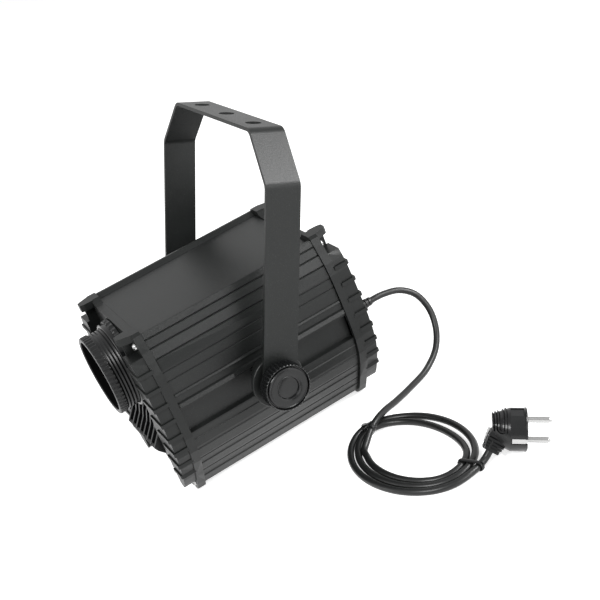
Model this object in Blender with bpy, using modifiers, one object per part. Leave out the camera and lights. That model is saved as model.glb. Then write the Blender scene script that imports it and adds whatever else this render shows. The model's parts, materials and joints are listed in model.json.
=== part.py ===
"""Stage spotlight with a focusing lens tube, hung in a tilting yoke, with its mains cord and plug.

Lengths are in millimetres here and become metres when an object is made. X runs across the
light, with the lens facing -Y, and Z is up. The light stands on the flat feet of its two end
caps. Heights are measured from the yoke's pivot, and places along Y too.
"""

import math

import bmesh
import bpy
from mathutils import Matrix, Vector

MM = 0.001
TURN = 2 * math.pi

# Clearance between pieces that rest on each other.
GAP = 0.3

# Housing
PIVOT_HEIGHT = 94.0
SHELL_FRONT = 77.5
SHELL_REAR = 85.0
SHELL_WALL = 2.8
SIDE_LINE = [
    (60.9, 73.9),
    (63.6, 67.5),
    (67.2, 60.5),
    (71.0, 52.0),
    (73.7, 42.0),
    (75.4, 31.0),
    (76.6, 19.0),
    (77.5, 7.0),
    (77.9, -6.0),
    (77.4, -20.0),
    (73.9, -35.0),
    (67.5, -48.5),
    (56.0, -66.5),
    (45.5, -81.5),
    (39.2, -89.6),
]
LIP_WIDTH = 2.5
LIP_SLOPE = 5.7
LIP_RISE = 3.4
LIP_CREST = SIDE_LINE[0][0] - LIP_WIDTH
LIP_HEIGHT = SIDE_LINE[0][1] + 0.1
COVER_HALF = LIP_CREST - LIP_SLOPE
COVER_TOP = LIP_HEIGHT - LIP_RISE
COVER_THICKNESS = 2.2
FLOOR_HALF = 38.2
LEDGE_REACH = 5.0
LEDGE_THICKNESS = 2.6

# Channel in each side, and the rib beside it that the pivot spacer rests on
CHANNEL_HEIGHT = -7.0
CHANNEL_WIDTH = 23.0
CHANNEL_DEPTH = 4.3
RIB_HEIGHT = 9.4
RIB_WIDTH = 5.0
RIB_RISE = 1.6

# Grooves and ribs along the side shells: height, width across, depth (a rib's is negative)
SIDE_DETAILS = [
    (68.4, 1.4, 1.0),
    (61.2, 1.4, 1.0),
    (52.3, 1.4, 1.0),
    (40.4, 1.2, 0.5),
    (32.0, 1.2, 0.5),
    (19.0, 1.8, -0.9),
    (RIB_HEIGHT, RIB_WIDTH, -RIB_RISE),
    (CHANNEL_HEIGHT, CHANNEL_WIDTH, CHANNEL_DEPTH),
    (-26.5, 1.5, -0.7),
    (-38.5, 1.5, -0.7),
    (-50.5, 1.5, 0.8),
    (-58.5, 1.5, -0.7),
    (-69.5, 1.5, 0.8),
    (-78.5, 1.5, -0.7),
]

# End caps
CAP_BAND = 7.5
CAP_RIM_TOP = 0.9
CAP_RIM = 2.8
CAP_TOP_RISE = 1.2
LUG_RISE = 2.2
CAP_TOP = COVER_TOP + CAP_TOP_RISE
LUG_HEIGHT = LIP_HEIGHT + LUG_RISE
LUG_INNER = 44.5
LUG_OUTER = 58.5
LUG_NOSE_INNER = 45.5
LUG_NOSE_OUTER = 53.0
FOOT_HALF = 36.0
CHEEK_REACH = 11.5
CHEEK_INSET = 1.2
CHEEK_TOP = 58.5
CHEEK_WALL = 3.0
CHEEK_INNER = [(49.0, 8.0), (47.0, -5.0), (41.0, -22.0), (40.0, -62.0)]
CHEEK_FOOT = [(52.3, -74.2), (48.6, -78.4), (44.6, -80.0), (41.0, -77.0)]
BEAD_TOP = 46.5
BEAD_PITCH = 15.2
BEAD_COUNT = 8
BEAD_THICKNESS = 3.4
BEAD_PROUD = 1.5
BEAD_LENGTH = 26.0
WEB_THICKNESS = 3.0
SCREW_PLACES = [(59.0, 65.8), (-59.0, 65.8), (39.5, -84.0), (-39.5, -84.0)]
SCREW_RADIUS = 1.9
SCREW_LENGTH = 16.0
SCREW_HEAD_RADIUS = 3.6
SCREW_HEAD_HEIGHT = 2.6
SCREW_PORT_WALL = 0.9
SCREW_PORT_DEPTH = 11.0
SCREW_SLOT = 1.2
VENT_COUNT = 7
VENT_PITCH = 10.0
VENT_WIDTH = 3.0
VENT_LOW = 2.0
VENT_HIGH = 52.0

# Lens: a tube that screws in and out of its mount on three starts
LENS_HEIGHT = 30.0
MOUNT_WALL = 4.3
MOUNT_STEP_WALL = 2.5
MOUNT_LENGTH = 9.4
MOUNT_STEP_LENGTH = 4.4
MOUNT_SLEEVE_WALL = 2.1
MOUNT_SLEEVE = 15.0
TUBE_FRONT = 114.0
TUBE_LENGTH = 52.0
TUBE_RADIUS = 34.8
TUBE_RIM_RISE = 1.8
TUBE_RIM_RADIUS = TUBE_RADIUS + TUBE_RIM_RISE
TUBE_RIM_LENGTH = 7.5
THREAD_RISE = 1.0
THREAD_RADIUS = TUBE_RADIUS + THREAD_RISE
THREAD_PITCH = 3.0
THREAD_RIDGES = 6
THREAD_CLEARANCE = 0.5
TUBE_WALL = 2.3
TUBE_RECESS = TUBE_RADIUS - TUBE_WALL
TUBE_RECESS_DEPTH = 26.0
TUBE_LEDGE_REACH = 4.0
TUBE_LEDGE = TUBE_RECESS - TUBE_LEDGE_REACH
TUBE_LEDGE_LENGTH = 3.0
TUBE_REAR_WALL = 3.4
TUBE_REAR_BORE = TUBE_RADIUS - TUBE_REAR_WALL
LENS_EDGE = 2.4
LENS_RIM = 2.4
FRONT_LENS_BULGE = 7.0
REAR_LENS_BULGE = 4.5
LENS_RING_LENGTH = 3.0
RIM_TEETH = 54
RIM_TOOTH = 0.5

# Light engine behind the lens, standing on the chassis
CHASSIS_TOP = -22.0
CHASSIS_HALF = 33.0
CHASSIS_THICKNESS = 2.0
CHASSIS_FRONT = 58.0
CHASSIS_REAR = 78.0
GATE_PLACE = -20.0
GATE_HALF = 33.0
GATE_TOP = 62.0
GATE_THICKNESS = 2.0
GATE_HOLE = 14.0
HOLDER_RADIUS = 28.0
HOLDER_WALL = 3.2
HOLDER_STEP = 2.2
CONDENSER_SEAT = 7.0
CONDENSER_EDGE = 3.0
CONDENSER_BULGE = 6.2
SINK_PLACE = 22.0
SINK_HALF = 33.0
SINK_BASE = 6.0
SINK_LENGTH = 44.0
SINK_TOP = 62.0
SINK_FINS = 9
SINK_FIN_THICKNESS = 2.2
BOARD_RADIUS = 21.0
BOARD_THICKNESS = 1.6
EMITTER_RADIUS = 9.0
EMITTER_THICKNESS = 1.2

# Driver and terminal block under the chassis
DRIVER_FRONT = 45.0
DRIVER_LENGTH = 96.0
DRIVER_HALF = 29.0
DRIVER_HEIGHT = 32.0
TERMINAL_FRONT = 58.0
TERMINAL_LENGTH = 16.0
TERMINAL_HALF = 14.0
TERMINAL_HEIGHT = 14.0

# Finned block under the lens: distance forward of the cap's web, height
GRILLE_HALF = 34.1
GRILLE_FINS = 8
GRILLE_FIN_THICKNESS = 2.4
GRILLE_BASE = 2.4
GRILLE_TOP = -12.5
GRILLE_BOTTOM = -58.0
GRILLE_LINE = [(6.0, -18.5), (9.0, -26.5), (18.0, -38.5), (15.5, -43.0)]

# Yoke: a flat strap bent at two shoulders on each side
YOKE_LEAN = 22.7
YOKE_HALF = 111.5
YOKE_TOP_HALF = 79.0
YOKE_HEIGHT = 201.5
YOKE_SHOULDER = 162.0
YOKE_WIDTH = 30.0
YOKE_THICKNESS = 3.0
YOKE_BEND = 8.0
YOKE_HOLE_SPACING = 54.0
YOKE_HOLE_RADIUS = 6.6

# Pivot hardware, from the housing outwards
STUD_RADIUS = 4.0
SPACER_RADIUS = 11.0
SPACER_FOOT = 10.0
SPACER_FLANGE_RADIUS = 23.0
SPACER_FLANGE = 3.5
WASHER_RADIUS = 15.0
WASHER_THICKNESS = 1.2
KNOB_RADIUS = 20.0
KNOB_FACE_RADIUS = 18.4
KNOB_DEPTH = 13.5
KNOB_TEETH = 40
KNOB_TOOTH = 0.9
KNOB_DISH_RADIUS = 9.0
KNOB_DISH_DEPTH = 2.2
KNOB_SOCKET_DEPTH = 9.0
NUT_ACROSS = 13.0
NUT_THICKNESS = 6.5

# Cable gland in the rear cap: place across and height
GLAND_PLACE = (25.0, -24.6)
GLAND_THREAD_RADIUS = 7.6
GLAND_HEX_RADIUS = 10.5
GLAND_HEX_LENGTH = 5.5
GLAND_INNER = 7.0
GLAND_DOME_RADIUS = 9.2
GLAND_DOME_LENGTH = 13.0
LOCKNUT_RADIUS = 11.0
LOCKNUT_THICKNESS = 3.2
RELIEF_LENGTH = 21.0
RELIEF_RADIUS = 5.6
RELIEF_END_RADIUS = 4.2

# Mains cord: points of its free stretches as (across, along, height above the ground)
CORD_RADIUS = 3.0
CORD_LIFT = 0.2
CORD_STEP = 12.0
RUN_ROUTE = [
    (25.0, 148.0, 68.4),
    (27.0, 162.5, 64.6),
    (32.0, 173.5, 56.0),
    (40.0, 178.5, 41.5),
    (50.0, 174.5, 25.0),
    (59.5, 164.0, 12.5),
    (69.0, 145.5, 4.4),
    (81.5, 119.0, 3.4),
    (93.0, 96.0, 6.2),
    (101.5, 78.5, 11.2),
    (108.0, 67.0, 11.6),
    (114.0, 56.5, 10.2),
    (119.0, 49.0, 6.6),
]

# Coil: a flat spiral on the ground, from its inner turn out, spread wider on its far side
COIL_CENTRE = (162.4, 67.7)
COIL_HALF_LENGTH = 60.6
COIL_HALF_WIDTH = 41.2
COIL_LEAN = 10.7
COIL_PITCH = 6.7
COIL_START = 238.0
COIL_TURNS = 2.36
COIL_MIDDLE_TURN = 1.45
COIL_SPREAD = 0.54
COIL_SPREAD_AT = 100.0
COIL_SPREAD_REACH = 75.0
COIL_POINTS_PER_TURN = 24
COIL_END_STEP = 0.008

# Wire ties round the coil's two ends, by their angle round the coil
TIE_ANGLES = (188.0, 22.0)
TIE_RADIUS = 0.6
TIE_REACH = 45.0
TIE_LIFT = 1.6

# Plug, tipped forward so that it rests on the edge of its round face, a pin and its neck
PLUG_PLACE = (232.4, 128.7)
PLUG_TURN = 56.1
PLUG_PITCH = 16.5
PLUG_RADIUS = 17.5
PLUG_DEPTH = 13.5
PLUG_BACK_DEPTH = 14.5
PLUG_BACK_RADIUS = 11.5
PLUG_NOTCH_DEPTH = 4.0
PLUG_NOTCH_WIDTH = 5.0
PIN_RADIUS = 2.4
PIN_LENGTH = 19.0
PIN_SPACING = 19.0
PIN_ROOT = 7.0
NECK_END = (224.4, 104.2, 10.4)
NECK_RADIUS = 7.6
NECK_END_RADIUS = 5.0
NECK_RIBS = 4

FRONT_OF_PART = -TUBE_FRONT
CAP_FACE = SHELL_REAR + GAP + CAP_BAND
REAR_OF_PART = CAP_FACE + GAP + GLAND_HEX_LENGTH + GLAND_DOME_LENGTH
PIVOT_PLACE = -(FRONT_OF_PART + REAR_OF_PART) / 2


def world(x, y, z):
    """A point measured from the pivot, in metres from the part's origin."""
    return Vector((x, y + PIVOT_PLACE, z + PIVOT_HEIGHT)) * MM


def clear_scene():
    for obj in list(bpy.data.objects):
        bpy.data.objects.remove(obj)


def new_collection(name):
    made = bpy.data.collections.new(name)
    bpy.context.scene.collection.children.link(made)
    return made


def material(name, colour, roughness, metallic=0.0):
    made = bpy.data.materials.new(name)
    made.use_nodes = True
    shader = made.node_tree.nodes["Principled BSDF"]
    shader.inputs["Base Color"].default_value = (*colour, 1.0)
    shader.inputs["Roughness"].default_value = roughness
    shader.inputs["Metallic"].default_value = metallic
    return made


clear_scene()
PARTS = new_collection("stage_light")

POWDER_COAT = material("powder_coat", (0.045, 0.047, 0.047), 0.55)
CAST_BLACK = material("cast_black", (0.04, 0.042, 0.042), 0.5)
BLACK_METAL = material("black_metal", (0.02, 0.021, 0.022), 0.35)
BLACK_PLASTIC = material("black_plastic", (0.025, 0.026, 0.026), 0.4)
BLACK_RUBBER = material("black_rubber", (0.022, 0.023, 0.023), 0.6)
BRIGHT_STEEL = material("bright_steel", (0.62, 0.62, 0.63), 0.25, 1.0)
ALUMINIUM = material("bare_aluminium", (0.72, 0.73, 0.74), 0.4, 1.0)
LENS_GLASS = material("lens_glass", (0.9, 0.95, 0.95), 0.05)
BOARD_WHITE = material("board_white", (0.8, 0.8, 0.78), 0.5)
EMITTER_YELLOW = material("emitter_yellow", (0.9, 0.75, 0.2), 0.4)


def mesh_of(obj):
    """The object's evaluated shape as a mesh of its own, welded and facing outwards."""
    graph = bpy.context.evaluated_depsgraph_get()
    mesh = bpy.data.meshes.new_from_object(obj.evaluated_get(graph))
    mesh.transform(obj.matrix_world)
    shape = bmesh.new()
    shape.from_mesh(mesh)
    bmesh.ops.remove_doubles(shape, verts=shape.verts, dist=1e-4)
    bmesh.ops.recalc_face_normals(shape, faces=shape.faces)
    bpy.data.objects.remove(obj)
    bpy.data.meshes.remove(mesh)
    return shape


def in_scene(name, data):
    obj = bpy.data.objects.new(name, data)
    PARTS.objects.link(obj)
    bpy.context.view_layer.update()
    return obj


def helper(shape):
    """A scratch object that holds a bmesh, for a modifier to work on."""
    mesh = bpy.data.meshes.new("helper")
    shape.to_mesh(mesh)
    shape.free()
    return in_scene("helper", mesh)


def slab(outline, low, high, axis="Y", holes=()):
    """A flat outline, with any holes, given thickness from low to high along an axis.

    Points are (x, z) for axis Y, (y, z) for axis X and (x, y) for axis Z.
    """
    curve = bpy.data.curves.new("outline", "CURVE")
    curve.dimensions = "2D"
    curve.fill_mode = "BOTH"
    curve.extrude = (high - low) / 2
    for ring in (outline, *holes):
        spline = curve.splines.new("POLY")
        spline.points.add(len(ring) - 1)
        for point, (u, v) in zip(spline.points, ring):
            point.co = (u, v, 0, 1)
        spline.use_cyclic_u = True
    shape = mesh_of(in_scene("outline", curve))
    turn = {
        "X": Matrix(((0, 0, 1, 0), (1, 0, 0, 0), (0, 1, 0, 0), (0, 0, 0, 1))),
        "Y": Matrix(((1, 0, 0, 0), (0, 0, -1, 0), (0, 1, 0, 0), (0, 0, 0, 1))),
        "Z": Matrix.Identity(4),
    }[axis]
    middle = (low + high) / 2
    shift = {"X": (middle, 0, 0), "Y": (0, middle, 0), "Z": (0, 0, middle)}[axis]
    bmesh.ops.transform(shape, matrix=Matrix.Translation(shift) @ turn, verts=shape.verts)
    bmesh.ops.recalc_face_normals(shape, faces=shape.faces)
    return shape


def box(low, high):
    """A box between two corners."""
    shape = bmesh.new()
    size = [b - a for a, b in zip(low, high)]
    middle = [(a + b) / 2 for a, b in zip(low, high)]
    matrix = Matrix.Translation(middle) @ Matrix.Diagonal((*size, 1))
    bmesh.ops.create_cube(shape, size=1, matrix=matrix)
    return shape


AXIS_TURNS = {
    "X": Matrix.Rotation(TURN / 4, 4, "Y"),
    "Y": Matrix.Rotation(-TURN / 4, 4, "X"),
    "Z": Matrix.Identity(4),
}


def rod(radius, start, length, axis, sides=24, radius_end=None):
    """A round or tapered bar from a start point along +axis."""
    shape = bmesh.new()
    along = Matrix.Translation((0, 0, length / 2))
    bmesh.ops.create_cone(
        shape,
        cap_ends=True,
        segments=sides,
        radius1=radius,
        radius2=radius if radius_end is None else radius_end,
        depth=length,
        matrix=Matrix.Translation(start) @ AXIS_TURNS[axis] @ along,
    )
    return shape


def turned(profile, start, axis, sides=32, closed=True):
    """A profile of (radius, distance along axis) swept round the axis through start.

    The profile runs down its outer side, from the far end to the near one.
    """
    mesh = bpy.data.meshes.new("profile")
    edges = [(i, i + 1) for i in range(len(profile) - 1)]
    if closed:
        edges.append((len(profile) - 1, 0))
    mesh.from_pydata([(r, 0, h) for r, h in profile], edges, [])
    obj = in_scene("profile", mesh)
    screw = obj.modifiers.new("Screw", "SCREW")
    screw.steps = sides
    screw.render_steps = sides
    screw.use_merge_vertices = True
    screw.merge_threshold = 1e-4
    obj.matrix_world = Matrix.Translation(start) @ AXIS_TURNS[axis]
    bpy.context.view_layer.update()
    return mesh_of(obj)


def joined(shapes):
    """Several shapes held in one bmesh, still as separate bodies."""
    whole = bmesh.new()
    for shape in shapes:
        mesh = bpy.data.meshes.new("piece")
        shape.to_mesh(mesh)
        shape.free()
        whole.from_mesh(mesh)
        bpy.data.meshes.remove(mesh)
    return whole


def combined(first, second, operation):
    """The exact union or difference of two shapes."""
    target = helper(first)
    other = helper(second)
    modifier = target.modifiers.new("Boolean", "BOOLEAN")
    modifier.operation = operation
    modifier.solver = "EXACT"
    modifier.object = other
    bpy.context.view_layer.update()
    shape = mesh_of(target)
    bpy.data.objects.remove(other)
    return shape


def union(first, *others):
    for other in others:
        first = combined(first, other, "UNION")
    return first


def cut(first, *others):
    for other in others:
        first = combined(first, other, "DIFFERENCE")
    return first


def mirrored(shape):
    """The same shape on the other side of the light."""
    bmesh.ops.scale(shape, vec=(-1, 1, 1), verts=shape.verts)
    bmesh.ops.reverse_faces(shape, faces=shape.faces)
    return shape


def flipped(shape, middle):
    """The same shape turned end for end about a place along Y."""
    matrix = Matrix.Translation((0, middle, 0)) @ Matrix.Diagonal((1, -1, 1, 1))
    matrix = matrix @ Matrix.Translation((0, -middle, 0))
    bmesh.ops.transform(shape, matrix=matrix, verts=shape.verts)
    bmesh.ops.reverse_faces(shape, faces=shape.faces)
    return shape


def finish(name, shape, look, origin=(0, 0, 0)):
    """Puts a shape into the scene in metres, as a named object with its origin on its own axis."""
    mesh = bpy.data.meshes.new(name)
    matrix = Matrix.Scale(MM, 4) @ Matrix.Translation([-c for c in origin])
    bmesh.ops.transform(shape, matrix=matrix, verts=shape.verts)
    shape.to_mesh(mesh)
    shape.free()
    mesh.materials.append(look)
    mesh.shade_smooth()
    mesh.set_sharp_from_angle(angle=math.radians(32))
    obj = in_scene(name, mesh)
    obj.location = world(*origin)
    return obj


def circle(centre, radius, sides=24):
    """Points round a circle in the plane of an outline."""
    angles = [TURN * i / sides for i in range(sides)]
    return [(centre[0] + radius * math.cos(a), centre[1] + radius * math.sin(a)) for a in angles]


def offset_line(line, distances):
    """An open line moved sideways, to its left as it runs down, by a distance at each point."""
    moved = []
    for i, (x, z) in enumerate(line):
        before = Vector(line[i]) - Vector(line[i - 1]) if i else None
        after = Vector(line[i + 1]) - Vector(line[i]) if i + 1 < len(line) else None
        ways = [way.normalized() for way in (before, after) if way is not None]
        normals = [Vector((-way.y, way.x)) for way in ways]
        normal = sum(normals, Vector((0, 0))).normalized()
        reach = distances[i] / normal.dot(normals[0])
        moved.append((x + normal.x * reach, z + normal.y * reach))
    return moved


def on_line(line, height):
    """The point and the outward direction of the side line at a height."""
    for (x0, z0), (x1, z1) in zip(line, line[1:]):
        if z1 <= height <= z0:
            share = (z0 - height) / (z0 - z1)
            way = Vector((x1 - x0, z1 - z0)).normalized()
            return Vector((x0 + share * (x1 - x0), height)), Vector((-way.y, way.x))
    raise ValueError(f"no side line at height {height}")


def side_x(height, reach=0.0):
    """How far out the side line stands at a height, moved outwards by reach."""
    point, normal = on_line(SIDE_LINE, height)
    return point.x + reach / normal.x


def side_outline_outer():
    """The right shell's outer line from top to bottom, with its grooves, ribs and channel."""
    points = [(z, (x, z)) for x, z in SIDE_LINE]
    for height, width, depth in SIDE_DETAILS:
        low, high = height - width / 2, height + width / 2
        points = [entry for entry in points if not low <= entry[0] <= high]
        slope = min(0.45 * width, 0.9)
        for place, deep in ((high, 0), (high - slope, depth), (low + slope, depth), (low, 0)):
            point, normal = on_line(SIDE_LINE, place)
            moved = point - normal * deep
            points.append((place, (moved.x, moved.y)))
    points.sort(key=lambda entry: -entry[0])
    return [point for _, point in points]


def side_outline_inner():
    """The right shell's inner line from bottom to top."""
    reach = CHANNEL_WIDTH / 2 + SHELL_WALL
    channel = (CHANNEL_HEIGHT - reach, CHANNEL_HEIGHT + reach)
    line = offset_line(SIDE_LINE, [-SHELL_WALL] * len(SIDE_LINE))
    deep_x = side_x(CHANNEL_HEIGHT) - CHANNEL_DEPTH - SHELL_WALL
    above = [p for p in line if p[1] > channel[1]]
    below = [p for p in line if p[1] < channel[0]]
    middle = [(deep_x, channel[1]), (deep_x, channel[0])]
    return list(reversed(above + middle + below))


def side_shell_outline():
    outer = side_outline_outer()
    inner = side_outline_inner()
    foot = SIDE_LINE[-1][1]
    floor_top = foot + COVER_THICKNESS + GAP
    ledge_low = floor_top + LEDGE_THICKNESS
    foot_x = FLOOR_HALF + GAP
    shelf = COVER_TOP - COVER_THICKNESS - GAP
    ledge_high = shelf - LEDGE_THICKNESS
    top_x = COVER_HALF + GAP
    inner = [p for p in inner if ledge_low + 1 < p[1] < ledge_high - 1]
    bottom = [
        (foot_x, foot),
        (foot_x, floor_top),
        (foot_x - LEDGE_REACH, floor_top),
        (foot_x - LEDGE_REACH, ledge_low),
        (side_x(ledge_low, -SHELL_WALL), ledge_low),
    ]
    top = [
        (side_x(ledge_high, -SHELL_WALL), ledge_high),
        (top_x - LEDGE_REACH, ledge_high),
        (top_x - LEDGE_REACH, shelf),
        (top_x, shelf),
        (top_x, COVER_TOP),
        (LIP_CREST, LIP_HEIGHT),
    ]
    return outer + bottom + inner + top


def screw_ports():
    """The tubes along the right shell's corners that take the cap screws, and their bores."""
    outer = SCREW_RADIUS + GAP + SCREW_PORT_WALL
    tubes = []
    bores = []
    for x, z in SCREW_PLACES:
        if x > 0:
            start = (x, GAP - SHELL_FRONT, z)
            tubes.append(rod(outer, start, SHELL_FRONT + SHELL_REAR - 2 * GAP, "Y", 16))
            for low in (-SHELL_FRONT - 1, SHELL_REAR - SCREW_PORT_DEPTH):
                bores.append(rod(SCREW_RADIUS + GAP, (x, low, z), SCREW_PORT_DEPTH + 1, "Y", 12))
    return tubes, bores


def side_shells():
    hole = rod(STUD_RADIUS + GAP, (0, 0, 0), YOKE_HALF, "X")
    tubes, bores = screw_ports()
    right = union(slab(side_shell_outline(), -SHELL_FRONT, SHELL_REAR), *tubes)
    right = cut(right, hole, joined(bores))
    left = mirrored(right.copy())
    finish("side_shell_right", right, POWDER_COAT)
    finish("side_shell_left", left, POWDER_COAT)


def covers():
    top = box(
        (-COVER_HALF, -SHELL_FRONT, COVER_TOP - COVER_THICKNESS),
        (COVER_HALF, SHELL_REAR, COVER_TOP),
    )
    finish("top_cover", top, POWDER_COAT)
    foot = SIDE_LINE[-1][1]
    bottom = box((-FLOOR_HALF, -SHELL_FRONT, foot), (FLOOR_HALF, SHELL_REAR, foot + COVER_THICKNESS))
    finish("bottom_cover", bottom, POWDER_COAT)


def cap_side_line():
    """The outer line of a cap's band on the right, from its lug down to its foot."""
    count = len(SIDE_LINE)
    widest = max(range(count), key=lambda i: SIDE_LINE[i][0])
    rims = [CAP_RIM_TOP + (CAP_RIM - CAP_RIM_TOP) * min(i / widest, 1) for i in range(count)]
    return offset_line(SIDE_LINE, rims)


def cap_outline():
    side = cap_side_line()
    right = [
        (0, CAP_TOP),
        (LUG_INNER - 6, CAP_TOP),
        (LUG_INNER - 2, CAP_TOP + 1.2),
        (LUG_INNER, LUG_HEIGHT - 1.2),
        (LUG_INNER + 1.5, LUG_HEIGHT),
        (LUG_OUTER, LUG_HEIGHT),
        *side,
        (FOOT_HALF, -PIVOT_HEIGHT),
    ]
    left = [(-x, z) for x, z in reversed(right[1:])]
    return right + left


def offset_ring(ring, distance):
    """A closed outline that runs clockwise, drawn in by a distance."""
    count = len(ring)
    moved = []
    for i in range(count):
        before = (Vector(ring[i]) - Vector(ring[i - 1])).normalized()
        after = (Vector(ring[(i + 1) % count]) - Vector(ring[i])).normalized()
        normal = (Vector((before.y, -before.x)) + Vector((after.y, -after.x))).normalized()
        reach = distance / normal.dot(Vector((before.y, -before.x)))
        moved.append((ring[i][0] + normal.x * reach, ring[i][1] + normal.y * reach))
    return moved


def cheek_outline():
    """A cheek seen from the front, on the right, running clockwise from its top outer corner."""
    line = offset_line(cap_side_line(), [-CHEEK_INSET] * len(SIDE_LINE))
    outer = [p for p in line if CHEEK_FOOT[0][1] + 3 < p[1] < CHEEK_TOP - 2]
    top_outer = (side_x(CHEEK_TOP) + CAP_RIM_TOP - CHEEK_INSET, CHEEK_TOP)
    top_inner = (CHEEK_INNER[0][0], CHEEK_TOP)
    return [top_outer, *outer, *CHEEK_FOOT, *reversed(CHEEK_INNER), top_inner]


def lug_outline(front):
    """A lug's nose seen from above, on the right: it reaches as far forward as the cheek."""
    band = front + CHEEK_REACH
    return [
        (LUG_INNER, band + 1),
        (LUG_INNER + 0.5, front + 4),
        (LUG_NOSE_INNER + 1, front),
        (LUG_NOSE_OUTER, front),
        (LUG_NOSE_OUTER + 1.5, front + 2),
        (LUG_OUTER, band + 1),
    ]


def beads(front):
    """The raised beads that run across a cheek's face and back along its side."""
    shapes = []
    band = front + CHEEK_REACH
    for i in range(BEAD_COUNT):
        height = BEAD_TOP - i * BEAD_PITCH
        outer = side_x(height, CAP_RIM - CHEEK_INSET + BEAD_PROUD)
        outer = min(outer, side_x(height) + CAP_RIM + 0.3)
        inner = max(outer - BEAD_LENGTH, CHEEK_INNER[-1][0] + 5)
        half = BEAD_THICKNESS / 2
        shape = box((inner, front - BEAD_PROUD, height - half), (outer, band + 1, height + half))
        corner = [e for e in shape.edges if all(v.co.y < front and v.co.x > inner + 1 for v in e.verts)]
        bmesh.ops.bevel(shape, geom=corner, offset=1.1, segments=1, affect="EDGES")
        shapes.append(shape)
    return shapes


def cap(holes):
    """An end cap built as the front one, with its cheeks towards -Y."""
    face = -SHELL_FRONT - GAP
    band = face - CAP_BAND
    front = band - CHEEK_REACH
    window = [(-33, -79), (33, -79), (44, -66), (44, 60), (-44, 60), (-44, -66)]
    body = slab(cap_outline(), band, face)
    lug_low = SCREW_PLACES[0][1] + SCREW_HEAD_RADIUS + GAP
    pieces = []
    cores = []
    for flip in (False, True):
        cheek = slab(cheek_outline(), front, band + 1)
        lug = slab(lug_outline(front), lug_low, LUG_HEIGHT, "Z")
        post = box(
            (CHEEK_INNER[0][0], front + 3, CHEEK_TOP - 1),
            (LUG_NOSE_OUTER - 1, band + 1, LUG_HEIGHT - 1),
        )
        core = slab(offset_ring(cheek_outline(), CHEEK_WALL), front + CHEEK_WALL, face + 1)
        group = [cheek, lug, post, *beads(front)]
        if flip:
            group = [mirrored(shape) for shape in group]
            core = mirrored(core)
        pieces.append(group)
        cores.append(core)
    for group in pieces:
        body = union(body, *group[:3])
        body = union(body, joined(group[3:]))
    recess = slab(window, band + WEB_THICKNESS, face + 1)
    body = cut(body, recess, joined(cores))
    bores = [rod(SCREW_RADIUS + GAP, (x, band - 1, z), CAP_BAND + 2, "Y", 12) for x, z in SCREW_PLACES]
    return cut(body, joined(bores), joined(holes))


def end_caps():
    band = -SHELL_FRONT - GAP - CAP_BAND
    bore = THREAD_RADIUS + THREAD_CLEARANCE + MOUNT_SLEEVE_WALL + GAP
    finish("front_cap", cap([rod(bore, (0, band - 1, LENS_HEIGHT), CAP_BAND + 2, "Y", 40)]), CAST_BLACK)
    x, z = GLAND_PLACE
    holes = [rod(GLAND_THREAD_RADIUS + GAP, (x, band - 1, z), CAP_BAND + 2, "Y", 24)]
    for i in range(VENT_COUNT):
        middle = (i - (VENT_COUNT - 1) / 2) * VENT_PITCH
        low = (middle - VENT_WIDTH / 2, band - 1, VENT_LOW)
        holes.append(box(low, (middle + VENT_WIDTH / 2, band + CAP_BAND + 1, VENT_HIGH)))
    finish("rear_cap", flipped(cap(holes), (SHELL_REAR - SHELL_FRONT) / 2), CAST_BLACK)


def cap_screws():
    """A round-headed screw at each corner of each cap, with a driver slot in its head."""
    for flip, end in ((False, "front"), (True, "rear")):
        seat = -SHELL_FRONT - CAP_BAND - 2 * GAP
        for i, (x, z) in enumerate(SCREW_PLACES):
            profile = [
                (SCREW_RADIUS, SCREW_HEAD_HEIGHT + SCREW_LENGTH),
                (SCREW_RADIUS, SCREW_HEAD_HEIGHT),
                (SCREW_HEAD_RADIUS, SCREW_HEAD_HEIGHT),
                (SCREW_HEAD_RADIUS, 0.45 * SCREW_HEAD_HEIGHT),
                (0.7 * SCREW_HEAD_RADIUS, 0),
            ]
            profile = [(0, SCREW_HEAD_HEIGHT + SCREW_LENGTH), *profile, (0, 0)]
            tip = seat - SCREW_HEAD_HEIGHT
            shape = turned(profile, (x, tip, z), "Y", 10, closed=False)
            half = SCREW_SLOT / 2
            reach = SCREW_HEAD_RADIUS + 1
            shape = cut(shape, box((x - reach, tip - 1, z - half), (x + reach, tip + 1.2, z + half)))
            if flip:
                shape = flipped(shape, (SHELL_REAR - SHELL_FRONT) / 2)
            finish(f"{end}_screw_{i + 1}", shape, BRIGHT_STEEL)


def lens_mount():
    """The ring that stands on the front cap, and its threaded sleeve through the cap."""
    bore = THREAD_RADIUS + THREAD_CLEARANCE
    sleeve = bore + MOUNT_SLEEVE_WALL
    outer = bore + MOUNT_WALL
    step = bore + MOUNT_STEP_WALL
    end = MOUNT_LENGTH + MOUNT_SLEEVE
    profile = [
        (sleeve, end),
        (sleeve, MOUNT_LENGTH),
        (outer, MOUNT_LENGTH),
        (outer, MOUNT_STEP_LENGTH + 0.6),
        (outer - 0.6, MOUNT_STEP_LENGTH),
        (step, MOUNT_STEP_LENGTH),
        (step, 0.6),
        (step - 0.6, 0),
        (bore, 0),
        (bore, end),
    ]
    front = -SHELL_FRONT - CAP_BAND - 2 * GAP - MOUNT_LENGTH
    finish("lens_mount", turned(profile, (0, front, LENS_HEIGHT), "Y", 32), CAST_BLACK)


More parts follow.
